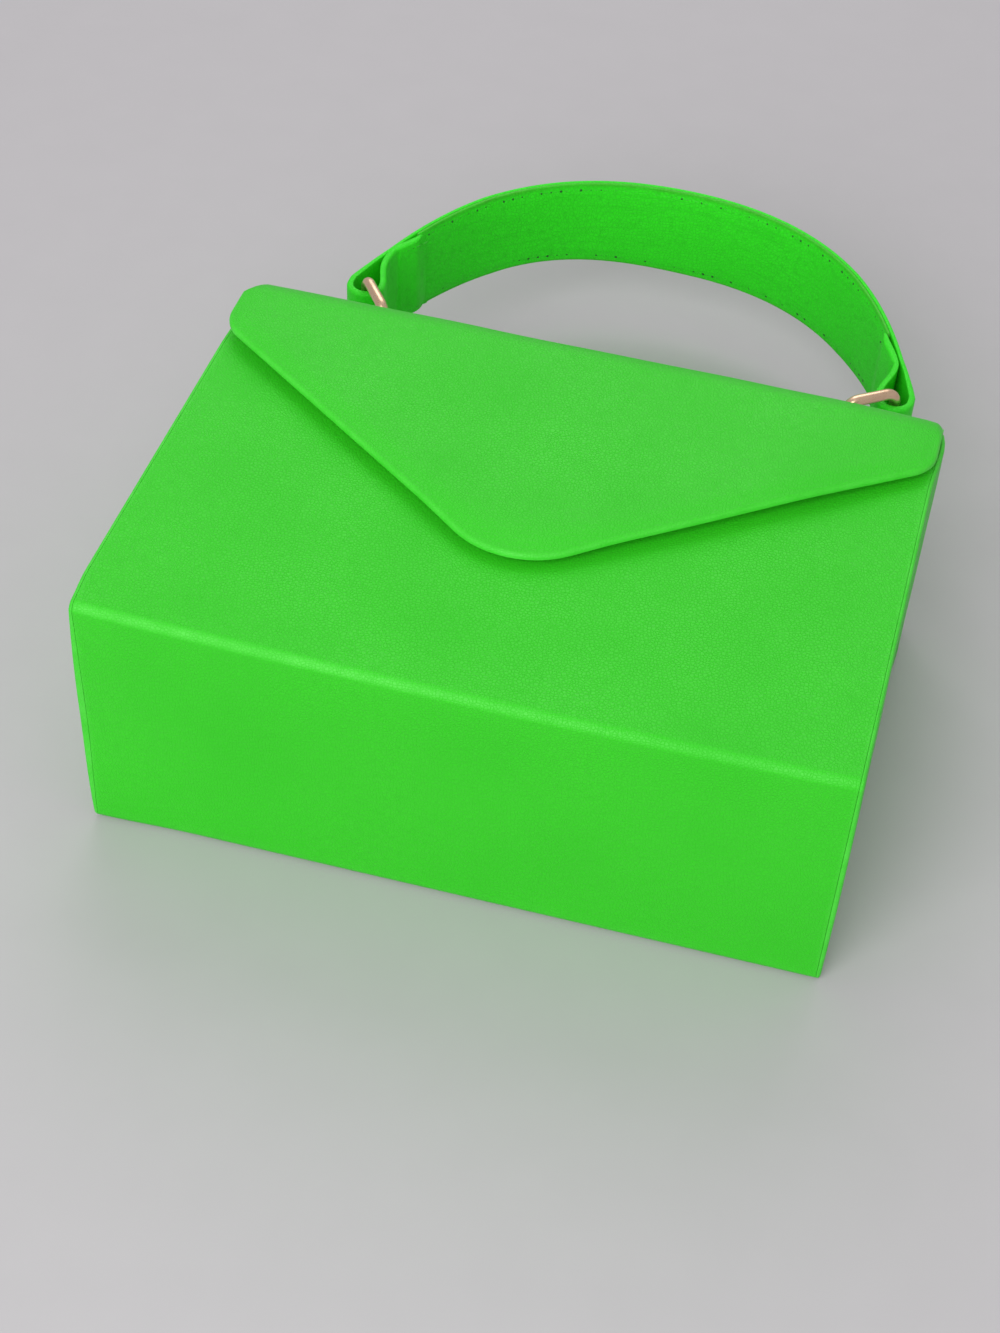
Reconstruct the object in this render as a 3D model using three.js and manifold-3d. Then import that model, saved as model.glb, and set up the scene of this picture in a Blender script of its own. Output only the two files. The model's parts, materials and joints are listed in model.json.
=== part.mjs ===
// A small box bag with an envelope flap and a top handle, lying on its back.
// Millimetres. +X is the bag's right as seen from the front, +Y runs to its top, +Z leaves its front.
// The origin is the middle of the back panel's outer face.
import * as THREE from 'three';
import { mergeVertices } from 'three/addons/utils/BufferGeometryUtils.js';
import Module from 'manifold-3d';

// The box
const WIDTH = 200;
const HEIGHT = 140;
const DEPTH = 78;
const EDGE_RADIUS = 3;
const MOUTH_RADIUS = 1.5;

// Layers of the walls
const SKIN = 1;
const BOARD = 1.6;
const LINING = 0.6;
const GLUE = 0.1;
const SEAM_GAP = 0.3;

// The lid: a top panel that turns on the back crease
const TOP_BOARD = 2.4;
const LID_GAP = 0.5;
const LID_INSET = 0.4;
const LID_CREASE_RADIUS = 3;
const BOARD_STEP = 0.5;

// The flap, an envelope shape with a rounded tip
const FLAP_LENGTH = 93;
const FLAP_SIDE = 27;
const FLAP_RISE = 3.3;
const FLAP_BOARD = 1;
const FLAP_FOLD_RADIUS = 12;
const FLAP_TIP_RADIUS = 26;
const FLAP_CORNER_RADIUS = 12;

// The slip pocket on the back lining
const POCKET_WIDTH = 120;
const POCKET_HEIGHT = 70;
const POCKET_FROM_BASE = 20;
const POCKET_CLOTH = 0.6;
const POCKET_CORNER = 8;
const POCKET_HEM = 8;

// The magnetic snap
const SNAP_FROM_TIP = 18;
const SNAP_RADIUS = 7;
const SNAP_HEIGHT = 2.2;
const SNAP_SHEET = 0.4;
const SNAP_HOLE_RADIUS = 3.2;
const SNAP_CLEARANCE = 0.2;
const STUD_FLANGE = 0.7;
const STUD_RADIUS = 2.6;
const STUD_TIP_RADIUS = 1.8;
const STUD_REACH = 1.4;
const PRONG_WIDTH = 4;
const PRONG_SPREAD = 3;
const PRONG_FOOT = 3;
const WASHER_RADIUS = 8;
const WASHER_ROOM = 0.5;

// The rings and the tabs that hold them
const TAB_FROM_SIDE = 29.25;
const TAB_REACH = 28;
const TAB_WIDTH = 26.5;
const TAB_SHEET = 1.3;
const TAB_LEG_GAP = 0.2;
const TAB_NECK = 9;
const TAB_FOOT = 12;
const TAB_BEND = 0.6;
const TAB_RECESS = 1.5;
const SLOT_CLEARANCE = 0.5;
const RING_WIRE = 3.4;
const RING_LINK = 16;
const RING_TALL = 32.6;
const RING_CORNER = 3.6;
const RING_CLEARANCE = 0.3;
const LEFT_RING_SPLAY = 36.5;
const RIGHT_RING_SPLAY = 55;

// The handle strap: skin, core and lining, turned round a ring at each end
const HANDLE_HEIGHT = 39.5;
const HANDLE_RISE = 82;
const STRAP_WIDTH = 31;
const STRAP_END_WIDTH = 26.5;
const STRAP_TAPER_FROM = 12;
const STRAP_TAPER_TO = 55;
const STRAP_SKIN = 1.3;
const STRAP_CORE = 0.5;
const STRAP_LINING = 0.9;
const CORE_INSET = 3;
const LOOP_RADIUS = 3.9;
const LOOP_OUT = 0.8;
const LOOP_CLEARANCE = 0.6;
const FOOT_RISE = 4;
const SHOULDER_IN = 12;
const SHOULDER_RISE = 44;
const CROWN_REACH = 53;
const LINING_START = 0.14;
const TURN_START = 0.155;
const TURN_END = 0.255;
const TURN_EASE = 6;

// Facets
const ROUND_STEPS = 40;
const BEND_STEPS = 10;
const RING_STEPS = 64;
const WIRE_SIDES = 10;
const ARCH_STEPS = 26;
const TURN_STEPS = 6;
const CUT_MARGIN = 2;

// Places that follow from the sizes
const topY = HEIGHT / 2;
const baseY = -topY;
const lidInnerY = topY - SKIN - GLUE - TOP_BOARD - GLUE - LINING;
const mouthY = lidInnerY - LID_GAP;
const boardDepth = SKIN + GLUE;
const liningDepth = boardDepth + BOARD + GLUE;
const wallDepth = liningDepth + LINING;
const sideInnerX = WIDTH / 2 - boardDepth - BOARD;
const wrapHalf = WIDTH / 2 - SKIN - SEAM_GAP;
const sideLiningX = sideInnerX - GLUE;
const liningHalf = sideLiningX - LINING - GLUE;
const lidHalf = WIDTH / 2 - LID_INSET;
const flapThickness = SKIN + GLUE + FLAP_BOARD + GLUE + LINING;
const flapTopZ = DEPTH + FLAP_RISE + flapThickness;
const flapInnerZ = DEPTH + FLAP_RISE;
const foldY = topY - FLAP_FOLD_RADIUS;
const foldZ = flapTopZ - FLAP_FOLD_RADIUS;
const snapY = topY - FLAP_LENGTH + SNAP_FROM_TIP;
const wireRadius = RING_WIRE / 2;
const barY = topY + TAB_REACH;
const tabX = WIDTH / 2 - TAB_FROM_SIDE;

const wasm = await Module();
wasm.setup();

const bag = new THREE.Group();
bag.name = 'box_bag';

const leather = { color: 0x36d127, roughness: 0.5, metalness: 0 };
const leatherEdge = { color: 0x2fbd22, roughness: 0.6, metalness: 0 };
const card = { color: 0x9c8f7a, roughness: 0.9, metalness: 0 };
const cloth = { color: 0x1d1d1f, roughness: 0.85, metalness: 0 };
const goldMetal = { color: 0xc9a57e, roughness: 0.28, metalness: 1 };
const magnetGrey = { color: 0x4a4a4c, roughness: 0.5, metalness: 0.8 };

function place(name, geometry, finish, group = bag) {
  const mesh = new THREE.Mesh(geometry, new THREE.MeshStandardMaterial(finish));
  mesh.name = name;
  group.add(mesh);
  return mesh;
}

// Solid shapes

function block(x, y, z) {
  const geometry = new THREE.BoxGeometry(x[1] - x[0], y[1] - y[0], z[1] - z[0]);
  return geometry.translate((x[0] + x[1]) / 2, (y[0] + y[1]) / 2, (z[0] + z[1]) / 2);
}

function extrudeUp(outline, z) {
  const depth = z[1] - z[0];
  const geometry = new THREE.ExtrudeGeometry(outline, { depth, bevelEnabled: false, curveSegments: BEND_STEPS });
  return geometry.translate(0, 0, z[0]);
}

// An outline drawn in Y and Z, run along X
function extrudeAcross(outline, x) {
  const across = new THREE.Matrix4().makeBasis(
    new THREE.Vector3(0, 1, 0),
    new THREE.Vector3(0, 0, 1),
    new THREE.Vector3(1, 0, 0),
  );
  return extrudeUp(outline, x).applyMatrix4(across);
}

// A turned piece about Z, from a profile of radius and height
function turned(profile, x, y, z) {
  const points = profile.map(([radius, height]) => new THREE.Vector2(radius, height));
  const geometry = new THREE.LatheGeometry(points, ROUND_STEPS);
  return geometry.rotateX(Math.PI / 2).translate(x, y, z);
}

function toSolid(geometry) {
  const bare = geometry.clone();
  bare.deleteAttribute('normal');
  bare.deleteAttribute('uv');
  const merged = mergeVertices(bare);
  return new wasm.Manifold(new wasm.Mesh({
    numProp: 3,
    vertProperties: new Float32Array(merged.attributes.position.array),
    triVerts: new Uint32Array(merged.index.array),
  }));
}

function toGeometry(solid) {
  const mesh = solid.getMesh();
  const geometry = new THREE.BufferGeometry();
  geometry.setAttribute('position', new THREE.BufferAttribute(mesh.vertProperties, 3));
  geometry.setIndex(new THREE.BufferAttribute(mesh.triVerts, 1));
  geometry.computeVertexNormals();
  return geometry;
}

function cut(geometry, ...tools) {
  return toGeometry(tools.reduce((solid, tool) => solid.subtract(toSolid(tool)), toSolid(geometry)));
}

function join(geometry, ...others) {
  return toGeometry(others.reduce((solid, other) => solid.add(toSolid(other)), toSolid(geometry)));
}

// Outlines

function roundedOutline(u, v, lowRadius, highRadius) {
  const shape = new THREE.Shape();
  shape.moveTo(u[0] + lowRadius, v[0]);
  shape.lineTo(u[1] - highRadius, v[0]);
  shape.absarc(u[1] - highRadius, v[0] + highRadius, highRadius, -Math.PI / 2, 0, false);
  shape.lineTo(u[1], v[1] - highRadius);
  shape.absarc(u[1] - highRadius, v[1] - highRadius, highRadius, 0, Math.PI / 2, false);
  shape.lineTo(u[0] + lowRadius, v[1]);
  shape.absarc(u[0] + lowRadius, v[1] - lowRadius, lowRadius, Math.PI / 2, Math.PI, false);
  shape.lineTo(u[0], v[0] + lowRadius);
  shape.absarc(u[0] + lowRadius, v[0] + lowRadius, lowRadius, Math.PI, Math.PI * 1.5, false);
  return shape;
}

// Section of a sheet that runs down the front, round the base and up the back
function foldedSheet(inset, thickness, radius, frontEnd, backEnd, lip) {
  const outer = baseY + inset;
  const front = DEPTH - inset;
  const turnY = outer + radius;
  const inner = Math.max(radius - thickness, GLUE);
  const shape = new THREE.Shape();
  shape.moveTo(backEnd, inset);
  shape.lineTo(turnY, inset);
  shape.absarc(turnY, inset + radius, radius, -Math.PI / 2, -Math.PI, true);
  shape.lineTo(outer, front - radius);
  shape.absarc(turnY, front - radius, radius, Math.PI, Math.PI / 2, true);
  shape.lineTo(frontEnd, front);
  if (lip > thickness) {
    shape.lineTo(frontEnd, front - lip);
    shape.lineTo(frontEnd - thickness, front - lip);
    shape.lineTo(frontEnd - thickness, front - thickness);
  } else {
    shape.lineTo(frontEnd, front - thickness);
  }
  const innerY = outer + thickness + inner;
  shape.lineTo(innerY, front - thickness);
  shape.absarc(innerY, front - thickness - inner, inner, Math.PI / 2, Math.PI, false);
  shape.lineTo(outer + thickness, inset + thickness + inner);
  shape.absarc(innerY, inset + thickness + inner, inner, Math.PI, Math.PI * 1.5, false);
  shape.lineTo(backEnd, inset + thickness);
  shape.closePath();
  return shape;
}

// Section of a sheet bent a quarter turn
function bentSheet(y, z, radius, from) {
  const to = from + Math.PI / 2;
  const shape = new THREE.Shape();
  shape.absarc(y, z, radius, from, to, false);
  shape.absarc(y, z, radius - SKIN, to, from, true);
  shape.closePath();
  return shape;
}

// Flap outline: straight sides from the fold, slanted edges and a round tip, all drawn in by an inset
function flapOutline(inset, foldEdge) {
  const half = lidHalf - inset;
  const slope = flapSlope();
  const tipY = topY - FLAP_LENGTH + inset;
  const tipRadius = FLAP_TIP_RADIUS - inset;
  const cornerRadius = FLAP_CORNER_RADIUS - inset;
  const tipCentre = tipY + tipRadius;
  const touch = new THREE.Vector2(Math.sin(slope), -Math.cos(slope)).multiplyScalar(tipRadius);
  const cornerX = half - cornerRadius;
  const alongX = cornerX + cornerRadius * Math.sin(slope);
  const edgeY = tipCentre + touch.y + (alongX - touch.x) * Math.tan(slope);
  const cornerCentre = edgeY + cornerRadius * Math.cos(slope);
  const turn = slope - Math.PI / 2;
  const shape = new THREE.Shape();
  shape.moveTo(half, foldEdge);
  shape.lineTo(-half, foldEdge);
  shape.lineTo(-half, cornerCentre);
  shape.absarc(-cornerX, cornerCentre, cornerRadius, Math.PI, Math.PI - turn, false);
  shape.lineTo(-touch.x, tipCentre + touch.y);
  shape.absarc(0, tipCentre, tipRadius, Math.PI - turn, turn, false);
  shape.lineTo(alongX, edgeY);
  shape.absarc(cornerX, cornerCentre, cornerRadius, turn, 0, false);
  shape.closePath();
  return shape;
}

// Slant of the flap's edges: they leave its sides at the corners and touch the tip's round
function flapSlope() {
  const rise = FLAP_LENGTH - FLAP_SIDE - FLAP_TIP_RADIUS;
  const reach = Math.hypot(lidHalf, rise);
  return Math.atan2(rise, lidHalf) + Math.asin(FLAP_TIP_RADIUS / reach);
}

// Points at an equal distance to the right of a line
function besideLine(line, distance) {
  return line.map((point, i) => {
    const before = line[Math.max(i - 1, 0)];
    const after = line[Math.min(i + 1, line.length - 1)];
    const along = after.clone().sub(before).normalize();
    return new THREE.Vector2(point.x + along.y * distance, point.y - along.x * distance);
  });
}

// Plan outline of a sheet that follows a line, with its thickness to the right of it
function stripOutline(line, thickness) {
  return new THREE.Shape([...line, ...besideLine(line, thickness).reverse()]);
}

function arcPoints(x, y, radius, from, to, steps) {
  return Array.from({ length: steps + 1 }, (_, i) => {
    const angle = from + (to - from) * (i / steps);
    return new THREE.Vector2(x + radius * Math.cos(angle), y + radius * Math.sin(angle));
  });
}

function mirrored(line) {
  return line.map((point) => new THREE.Vector2(-point.x, point.y)).reverse();
}

// Walls of the body

function addBodyWalls() {
  const snapSlots = prongSlots([DEPTH - wallDepth, DEPTH + CUT_MARGIN]);
  const backEnd = topY - LID_CREASE_RADIUS - GLUE;
  const wrap = foldedSheet(0, SKIN, EDGE_RADIUS, mouthY, backEnd, wallDepth);
  place('outer_wrap', cut(extrudeAcross(wrap, [-wrapHalf, wrapHalf]), ...snapSlots), leather);

  const boardEnd = mouthY - SKIN - GLUE;
  const boardStart = baseY + liningDepth;
  const boardHalf = sideInnerX - GLUE;
  const frontZ = [DEPTH - boardDepth - BOARD, DEPTH - boardDepth];
  const backZ = [boardDepth, boardDepth + BOARD];
  const recess = turnedDisc(WASHER_RADIUS + WASHER_ROOM, [frontZ[0] - CUT_MARGIN, frontZ[1] - WASHER_ROOM]);
  const frontBoard = block([-boardHalf, boardHalf], [boardStart, boardEnd], frontZ);
  place('front_board', cut(frontBoard, recess, ...snapSlots), card);
  place('back_board', block([-boardHalf, boardHalf], [boardStart, boardEnd], backZ), card);
  const baseZ = [backZ[1] + GLUE, frontZ[0] - GLUE];
  const baseBoardY = [baseY + boardDepth, baseY + boardDepth + BOARD];
  place('base_board', block([-boardHalf, boardHalf], baseBoardY, baseZ), card);

  const cornerRadius = Math.max(EDGE_RADIUS - liningDepth, GLUE) + LINING;
  const lining = foldedSheet(liningDepth, LINING, cornerRadius, boardEnd, boardEnd, 0);
  place('body_lining', extrudeAcross(lining, [-liningHalf, liningHalf]), cloth);
}

// A side panel: a board inside the wrap's end, its lining, and a skin that caps the end and turns in at the mouth.
// side is -1 or 1
function addSidePanel(name, side) {
  const edges = (inset) => roundedOutline(
    [baseY + inset, mouthY - inset],
    [inset, DEPTH - inset],
    Math.max(EDGE_RADIUS - inset, GLUE),
    Math.max(MOUTH_RADIUS - inset, GLUE),
  );
  const across = (from, to) => [side * from, side * to].sort((a, b) => a - b);
  const faceX = WIDTH / 2;
  const plate = extrudeAcross(edges(0), across(faceX - SKIN, faceX));
  const lipX = across(sideLiningX - LINING, faceX - SKIN / 2);
  const lipZ = [Math.max(boardDepth, MOUTH_RADIUS), DEPTH - wallDepth - GLUE];
  place(`${name}_side_skin`, join(plate, block(lipX, [mouthY - SKIN, mouthY], lipZ)), leather);
  const board = extrudeAcross(edges(boardDepth), across(sideInnerX, faceX - boardDepth));
  place(`${name}_side_board`, board, card);
  const liningEdge = wallDepth + GLUE;
  const liningY = [baseY + liningEdge, mouthY - SKIN - GLUE];
  const liningX = across(sideLiningX - LINING, sideLiningX);
  place(`${name}_side_lining`, block(liningX, liningY, [liningEdge, DEPTH - liningEdge]), cloth);
}

function addPocket() {
  const bottom = baseY + POCKET_FROM_BASE;
  const top = bottom + POCKET_HEIGHT;
  const half = POCKET_WIDTH / 2;
  const seat = wallDepth + GLUE;
  const panel = new THREE.Shape();
  panel.moveTo(-half, top);
  panel.lineTo(-half, bottom + POCKET_CORNER);
  panel.absarc(-half + POCKET_CORNER, bottom + POCKET_CORNER, POCKET_CORNER, Math.PI, Math.PI * 1.5, false);
  panel.absarc(half - POCKET_CORNER, bottom + POCKET_CORNER, POCKET_CORNER, -Math.PI / 2, 0, false);
  panel.lineTo(half, top);
  panel.closePath();
  place('slip_pocket', extrudeUp(panel, [seat, seat + POCKET_CLOTH]), cloth);
  const hem = block([-half, half], [top + GLUE, top + POCKET_HEM], [seat, seat + 2 * POCKET_CLOTH]);
  place('pocket_hem', hem, cloth);
}

// The bend in the skin along the back's top edge, on which the lid turns
function addLidCrease() {
  const bend = bentSheet(topY - LID_CREASE_RADIUS, LID_CREASE_RADIUS, LID_CREASE_RADIUS, -Math.PI / 2);
  place('lid_crease', extrudeAcross(bend, [-wrapHalf, wrapHalf]), leather);
}

// The lid: a skin turned over the ends of a board, slotted for the ring tabs
function addLid() {
  const z = [LID_CREASE_RADIUS + GLUE, foldZ - GLUE];
  const boardZ = [LID_CREASE_RADIUS + BOARD_STEP, foldZ - BOARD_STEP];
  const boardY = [topY - boardDepth - TOP_BOARD, topY - boardDepth];
  const boardHalf = lidHalf - boardDepth;
  const tabHalf = TAB_LEG_GAP / 2 + TAB_SHEET + SLOT_CLEARANCE;
  const slotZ = [HANDLE_HEIGHT - TAB_WIDTH / 2 - SLOT_CLEARANCE, HANDLE_HEIGHT + TAB_WIDTH / 2 + SLOT_CLEARANCE];
  const tabXs = [-tabX, tabX];
  const slots = tabXs.map((x) => block([x - tabHalf, x + tabHalf], [lidInnerY, topY + CUT_MARGIN], slotZ));
  const footHalf = TAB_FOOT + SLOT_CLEARANCE;
  const recessY = [boardY[0] - CUT_MARGIN, boardY[0] + TAB_RECESS];
  const recesses = tabXs.map((x) => block([x - footHalf, x + footHalf], recessY, slotZ));

  const plate = block([-lidHalf, lidHalf], [lidInnerY, topY], z);
  const underside = block([-lidHalf + SKIN, lidHalf - SKIN], [lidInnerY - CUT_MARGIN, topY - SKIN],
    [z[0] - CUT_MARGIN, z[1] + CUT_MARGIN]);
  place('top_skin', cut(plate, underside, ...slots), leather);
  const board = block([-boardHalf, boardHalf], boardY, boardZ);
  place('top_board', cut(board, ...recesses, ...slots), card);
  place('top_lining', block([-boardHalf, boardHalf], [lidInnerY, lidInnerY + LINING], boardZ), cloth);
}

// The soft bend in the skin between the top panel and the flap
function addFlapCrease() {
  const bend = bentSheet(foldY, foldZ, FLAP_FOLD_RADIUS, 0);
  place('flap_crease', extrudeAcross(bend, [-lidHalf, lidHalf]), leather);
}

function addFlap() {
  const startY = foldY - GLUE;
  const outer = extrudeUp(flapOutline(0, startY), [flapInnerZ, flapTopZ]);
  const hollow = extrudeUp(flapOutline(SKIN, startY + CUT_MARGIN), [flapInnerZ - CUT_MARGIN, flapTopZ - SKIN]);
  place('flap_skin', cut(outer, hollow), leather);
  const layer = flapOutline(boardDepth, startY - BOARD_STEP);
  const boardZ = [flapTopZ - boardDepth - FLAP_BOARD, flapTopZ - boardDepth];
  const washerRoom = turnedDisc(WASHER_RADIUS + WASHER_ROOM, [boardZ[0] - CUT_MARGIN, boardZ[1] + CUT_MARGIN]);
  place('flap_board', cut(extrudeUp(layer, boardZ), washerRoom), card);
  const liningZ = [flapInnerZ, flapInnerZ + LINING];
  const slots = prongSlots([liningZ[0] - CUT_MARGIN, liningZ[1] + CUT_MARGIN]);
  place('flap_lining', cut(extrudeUp(layer, liningZ), ...slots), cloth);
}

// The magnetic snap

function turnedDisc(radius, z) {
  return turned([[0, 0], [radius, 0], [radius, z[1] - z[0]], [0, z[1] - z[0]]], 0, snapY, z[0]);
}

// A pair of prongs and the slots that they pass through
function prongPair(thickness, width, z) {
  return [-1, 1].map((side) => {
    const x = [side * PRONG_SPREAD, side * (PRONG_SPREAD + thickness)].sort((a, b) => a - b);
    return block(x, [snapY - width / 2, snapY + width / 2], z);
  });
}

function prongSlots(z) {
  const slots = prongPair(SNAP_SHEET + SNAP_CLEARANCE, PRONG_WIDTH + 2 * SNAP_CLEARANCE, z);
  const inward = prongPair(-SNAP_CLEARANCE, PRONG_WIDTH + 2 * SNAP_CLEARANCE, z);
  return [...slots, ...inward];
}

// The prongs' feet, bent outwards over the washer
function prongFeet(z) {
  return [-1, 1].map((side) => {
    const x = [side * PRONG_SPREAD, side * (PRONG_SPREAD + PRONG_FOOT)].sort((a, b) => a - b);
    return block(x, [snapY - PRONG_WIDTH / 2, snapY + PRONG_WIDTH / 2], z);
  });
}

function addSnapSocket() {
  const top = SNAP_HEIGHT - SNAP_SHEET;
  const inside = SNAP_RADIUS - SNAP_SHEET;
  const capSection = [
    [inside, 0], [SNAP_RADIUS, 0], [SNAP_RADIUS, top], [inside, SNAP_HEIGHT],
    [SNAP_HOLE_RADIUS, SNAP_HEIGHT], [SNAP_HOLE_RADIUS, top], [inside, top], [inside, 0],
  ];
  place('snap_socket', turned(capSection, 0, snapY, DEPTH), goldMetal);

  const plateRadius = inside - SNAP_CLEARANCE;
  const magnetZ = [SNAP_SHEET + GLUE, top - GLUE];
  const bore = SNAP_HOLE_RADIUS + SNAP_CLEARANCE;
  const magnetSection = [
    [bore, magnetZ[0]], [plateRadius, magnetZ[0]], [plateRadius, magnetZ[1]], [bore, magnetZ[1]],
    [bore, magnetZ[0]],
  ];
  place('snap_magnet', turned(magnetSection, 0, snapY, DEPTH), magnetGrey);

  const washerTop = DEPTH - boardDepth - WASHER_ROOM - GLUE;
  const washerZ = [washerTop - SNAP_SHEET, washerTop];
  const footTop = washerZ[0] - GLUE;
  const plate = turnedDisc(plateRadius, [DEPTH, DEPTH + SNAP_SHEET]);
  const shanks = prongPair(SNAP_SHEET, PRONG_WIDTH, [footTop - SNAP_SHEET, DEPTH + SNAP_SHEET]);
  place('snap_prongs', join(plate, ...shanks, ...prongFeet([footTop - SNAP_SHEET, footTop])), goldMetal);
  const washer = turnedDisc(WASHER_RADIUS, washerZ);
  place('snap_back_washer', cut(washer, ...prongSlots([footTop, DEPTH])), goldMetal);
}

function addSnapStud() {
  const flangeZ = [flapInnerZ - STUD_FLANGE, flapInnerZ];
  const flangeRadius = SNAP_RADIUS - SNAP_SHEET;
  const studSection = [
    [0, -STUD_REACH], [STUD_TIP_RADIUS, -STUD_REACH], [STUD_RADIUS, 0], [flangeRadius, 0],
    [flangeRadius, STUD_FLANGE], [0, STUD_FLANGE],
  ];
  const stud = turned(studSection, 0, snapY, flangeZ[0]);
  const washerZ = [flapInnerZ + LINING + GLUE, flapInnerZ + LINING + GLUE + SNAP_SHEET];
  const footZ = [washerZ[1] + GLUE, washerZ[1] + GLUE + SNAP_SHEET];
  const shanks = prongPair(SNAP_SHEET, PRONG_WIDTH, [flangeZ[0], footZ[1]]);
  place('snap_stud', join(stud, ...shanks, ...prongFeet(footZ)), goldMetal);
  const washer = turnedDisc(WASHER_RADIUS, washerZ);
  place('snap_stud_washer', cut(washer, ...prongSlots([flapInnerZ, footZ[1]])), goldMetal);
}

// Rings and tabs

function addRing(name, x, splay) {
  const frame = roundedOutline([0, RING_LINK], [-RING_TALL / 2, RING_TALL / 2], RING_CORNER, RING_CORNER);
  frame.closePath();
  const points = frame.getSpacedPoints(RING_STEPS).slice(0, -1);
  const path = new THREE.CatmullRomCurve3(points.map((p) => new THREE.Vector3(0, p.x, p.y)), true);
  const wire = new THREE.TubeGeometry(path, RING_STEPS, wireRadius, WIRE_SIDES, true);
  const pivot = new THREE.Group();
  pivot.position.set(x, barY, HANDLE_HEIGHT);
  pivot.rotation.z = splay;
  bag.add(pivot);
  place(name, wire, goldMetal, pivot);
}

// A tab: one strip that passes up through the slot, round the ring and down, its feet spread under the board
function addTab(name, x) {
  const footTop = -TAB_REACH - boardDepth - TOP_BOARD + TAB_RECESS - GLUE;
  const leg = TAB_LEG_GAP / 2 + TAB_SHEET;
  const loop = wireRadius + RING_CLEARANCE + TAB_SHEET;
  const bend = arcPoints(-leg - TAB_BEND, footTop + TAB_BEND, TAB_BEND, -Math.PI / 2, 0, TURN_STEPS);
  const neck = new THREE.CubicBezierCurve(
    new THREE.Vector2(-leg, -TAB_NECK),
    new THREE.Vector2(-leg, -TAB_NECK / 2),
    new THREE.Vector2(-loop, -TAB_NECK / 2),
    new THREE.Vector2(-loop, 0),
  );
  const half = [
    new THREE.Vector2(-TAB_FOOT, footTop),
    ...bend,
    ...neck.getPoints(TURN_STEPS).slice(0, -1),
    ...arcPoints(0, 0, loop, Math.PI, Math.PI / 2, TURN_STEPS),
  ];
  const outline = stripOutline([...half, ...mirrored(half).slice(1)], TAB_SHEET);
  const strip = extrudeUp(outline, [HANDLE_HEIGHT - TAB_WIDTH / 2, HANDLE_HEIGHT + TAB_WIDTH / 2]);
  place(name, strip, leatherEdge).position.set(x, barY, 0);
}

// The handle, on the line between the rings' outer bars

function ringBar(side, splay) {
  const x = side * (tabX + RING_LINK * Math.sin(splay));
  return new THREE.Vector2(x, barY + RING_LINK * Math.cos(splay));
}

function addHandle(leftBar, rightBar) {
  const span = rightBar.clone().sub(leftBar);
  const handle = new THREE.Group();
  handle.position.set((leftBar.x + rightBar.x) / 2, (leftBar.y + rightBar.y) / 2, HANDLE_HEIGHT);
  handle.rotation.z = span.angle();
  bag.add(handle);

  const loopX = span.length() / 2 + LOOP_OUT;
  const loopY = LOOP_RADIUS - wireRadius - LOOP_CLEARANCE;
  const loopOuter = LOOP_RADIUS + STRAP_SKIN;
  const footX = loopX + loopOuter;
  const arch = new THREE.CubicBezierCurve(
    new THREE.Vector2(-footX, FOOT_RISE),
    new THREE.Vector2(-footX + SHOULDER_IN, SHOULDER_RISE),
    new THREE.Vector2(-CROWN_REACH, HANDLE_RISE),
    new THREE.Vector2(0, HANDLE_RISE),
  );
  const archLine = (from, to, depth, steps) => Array.from({ length: steps + 1 }, (_, i) => {
    const t = from + (to - from) * (i / steps);
    const along = arch.getTangent(t);
    const point = arch.getPoint(t);
    return new THREE.Vector2(point.x + along.y * depth, point.y - along.x * depth);
  });
  const wholeArch = (from, depth) => {
    const half = archLine(from, 1, depth, ARCH_STEPS);
    return [...half, ...mirrored(half).slice(1)];
  };

  const coreDepth = STRAP_SKIN + GLUE;
  const stripDepth = coreDepth + STRAP_CORE + GLUE;
  const turnDepth = stripDepth + STRAP_LINING + GLUE + STRAP_SKIN;
  const turnedEnd = archLine(TURN_END, TURN_START, turnDepth, TURN_STEPS);
  const leaves = turnedEnd[TURN_STEPS];
  const heading = arch.getTangent(TURN_START).multiplyScalar(-TURN_EASE);
  const enters = new THREE.Vector2(-loopX + loopOuter, loopY);
  const innerLeg = new THREE.CubicBezierCurve(
    leaves,
    leaves.clone().add(heading),
    enters.clone().add(new THREE.Vector2(0, TURN_EASE)),
    enters,
  );
  const leftEnd = [
    ...turnedEnd.slice(0, -1),
    ...innerLeg.getPoints(TURN_STEPS).slice(0, -1),
    ...arcPoints(-loopX, loopY, loopOuter, 0, -Math.PI, BEND_STEPS),
  ];
  const face = [...leftEnd, ...wholeArch(0, 0), ...mirrored(leftEnd)];

  const strip = (line, thickness, inset) => {
    const half = STRAP_WIDTH / 2 + CUT_MARGIN;
    const blank = extrudeUp(stripOutline(line, thickness), [-half, half]);
    const taper = extrudeAcross(strapTaper(inset), [-footX - CUT_MARGIN, footX + CUT_MARGIN]);
    return toGeometry(toSolid(blank).intersect(toSolid(taper)));
  };
  place('handle_strap', strip(face, STRAP_SKIN, 0), leather, handle);
  const coreLine = wholeArch(LINING_START, coreDepth);
  place('handle_core', strip(coreLine, STRAP_CORE, CORE_INSET), card, handle);
  const liningLine = wholeArch(LINING_START, stripDepth);
  place('handle_lining', strip(liningLine, STRAP_LINING, 0), leatherEdge, handle);
}

// Side view of the strap: narrow at the rings, full width over the arch
function strapTaper(inset) {
  const end = STRAP_END_WIDTH / 2 - inset;
  const full = STRAP_WIDTH / 2 - inset;
  const low = -LOOP_RADIUS - STRAP_SKIN - CUT_MARGIN;
  const high = HANDLE_RISE + CUT_MARGIN;
  const edge = [[low, end], [STRAP_TAPER_FROM, end], [STRAP_TAPER_TO, full], [high, full]];
  const upper = edge.map(([y, z]) => new THREE.Vector2(y, z));
  const lower = edge.map(([y, z]) => new THREE.Vector2(y, -z)).reverse();
  return new THREE.Shape([...upper, ...lower]);
}

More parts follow.
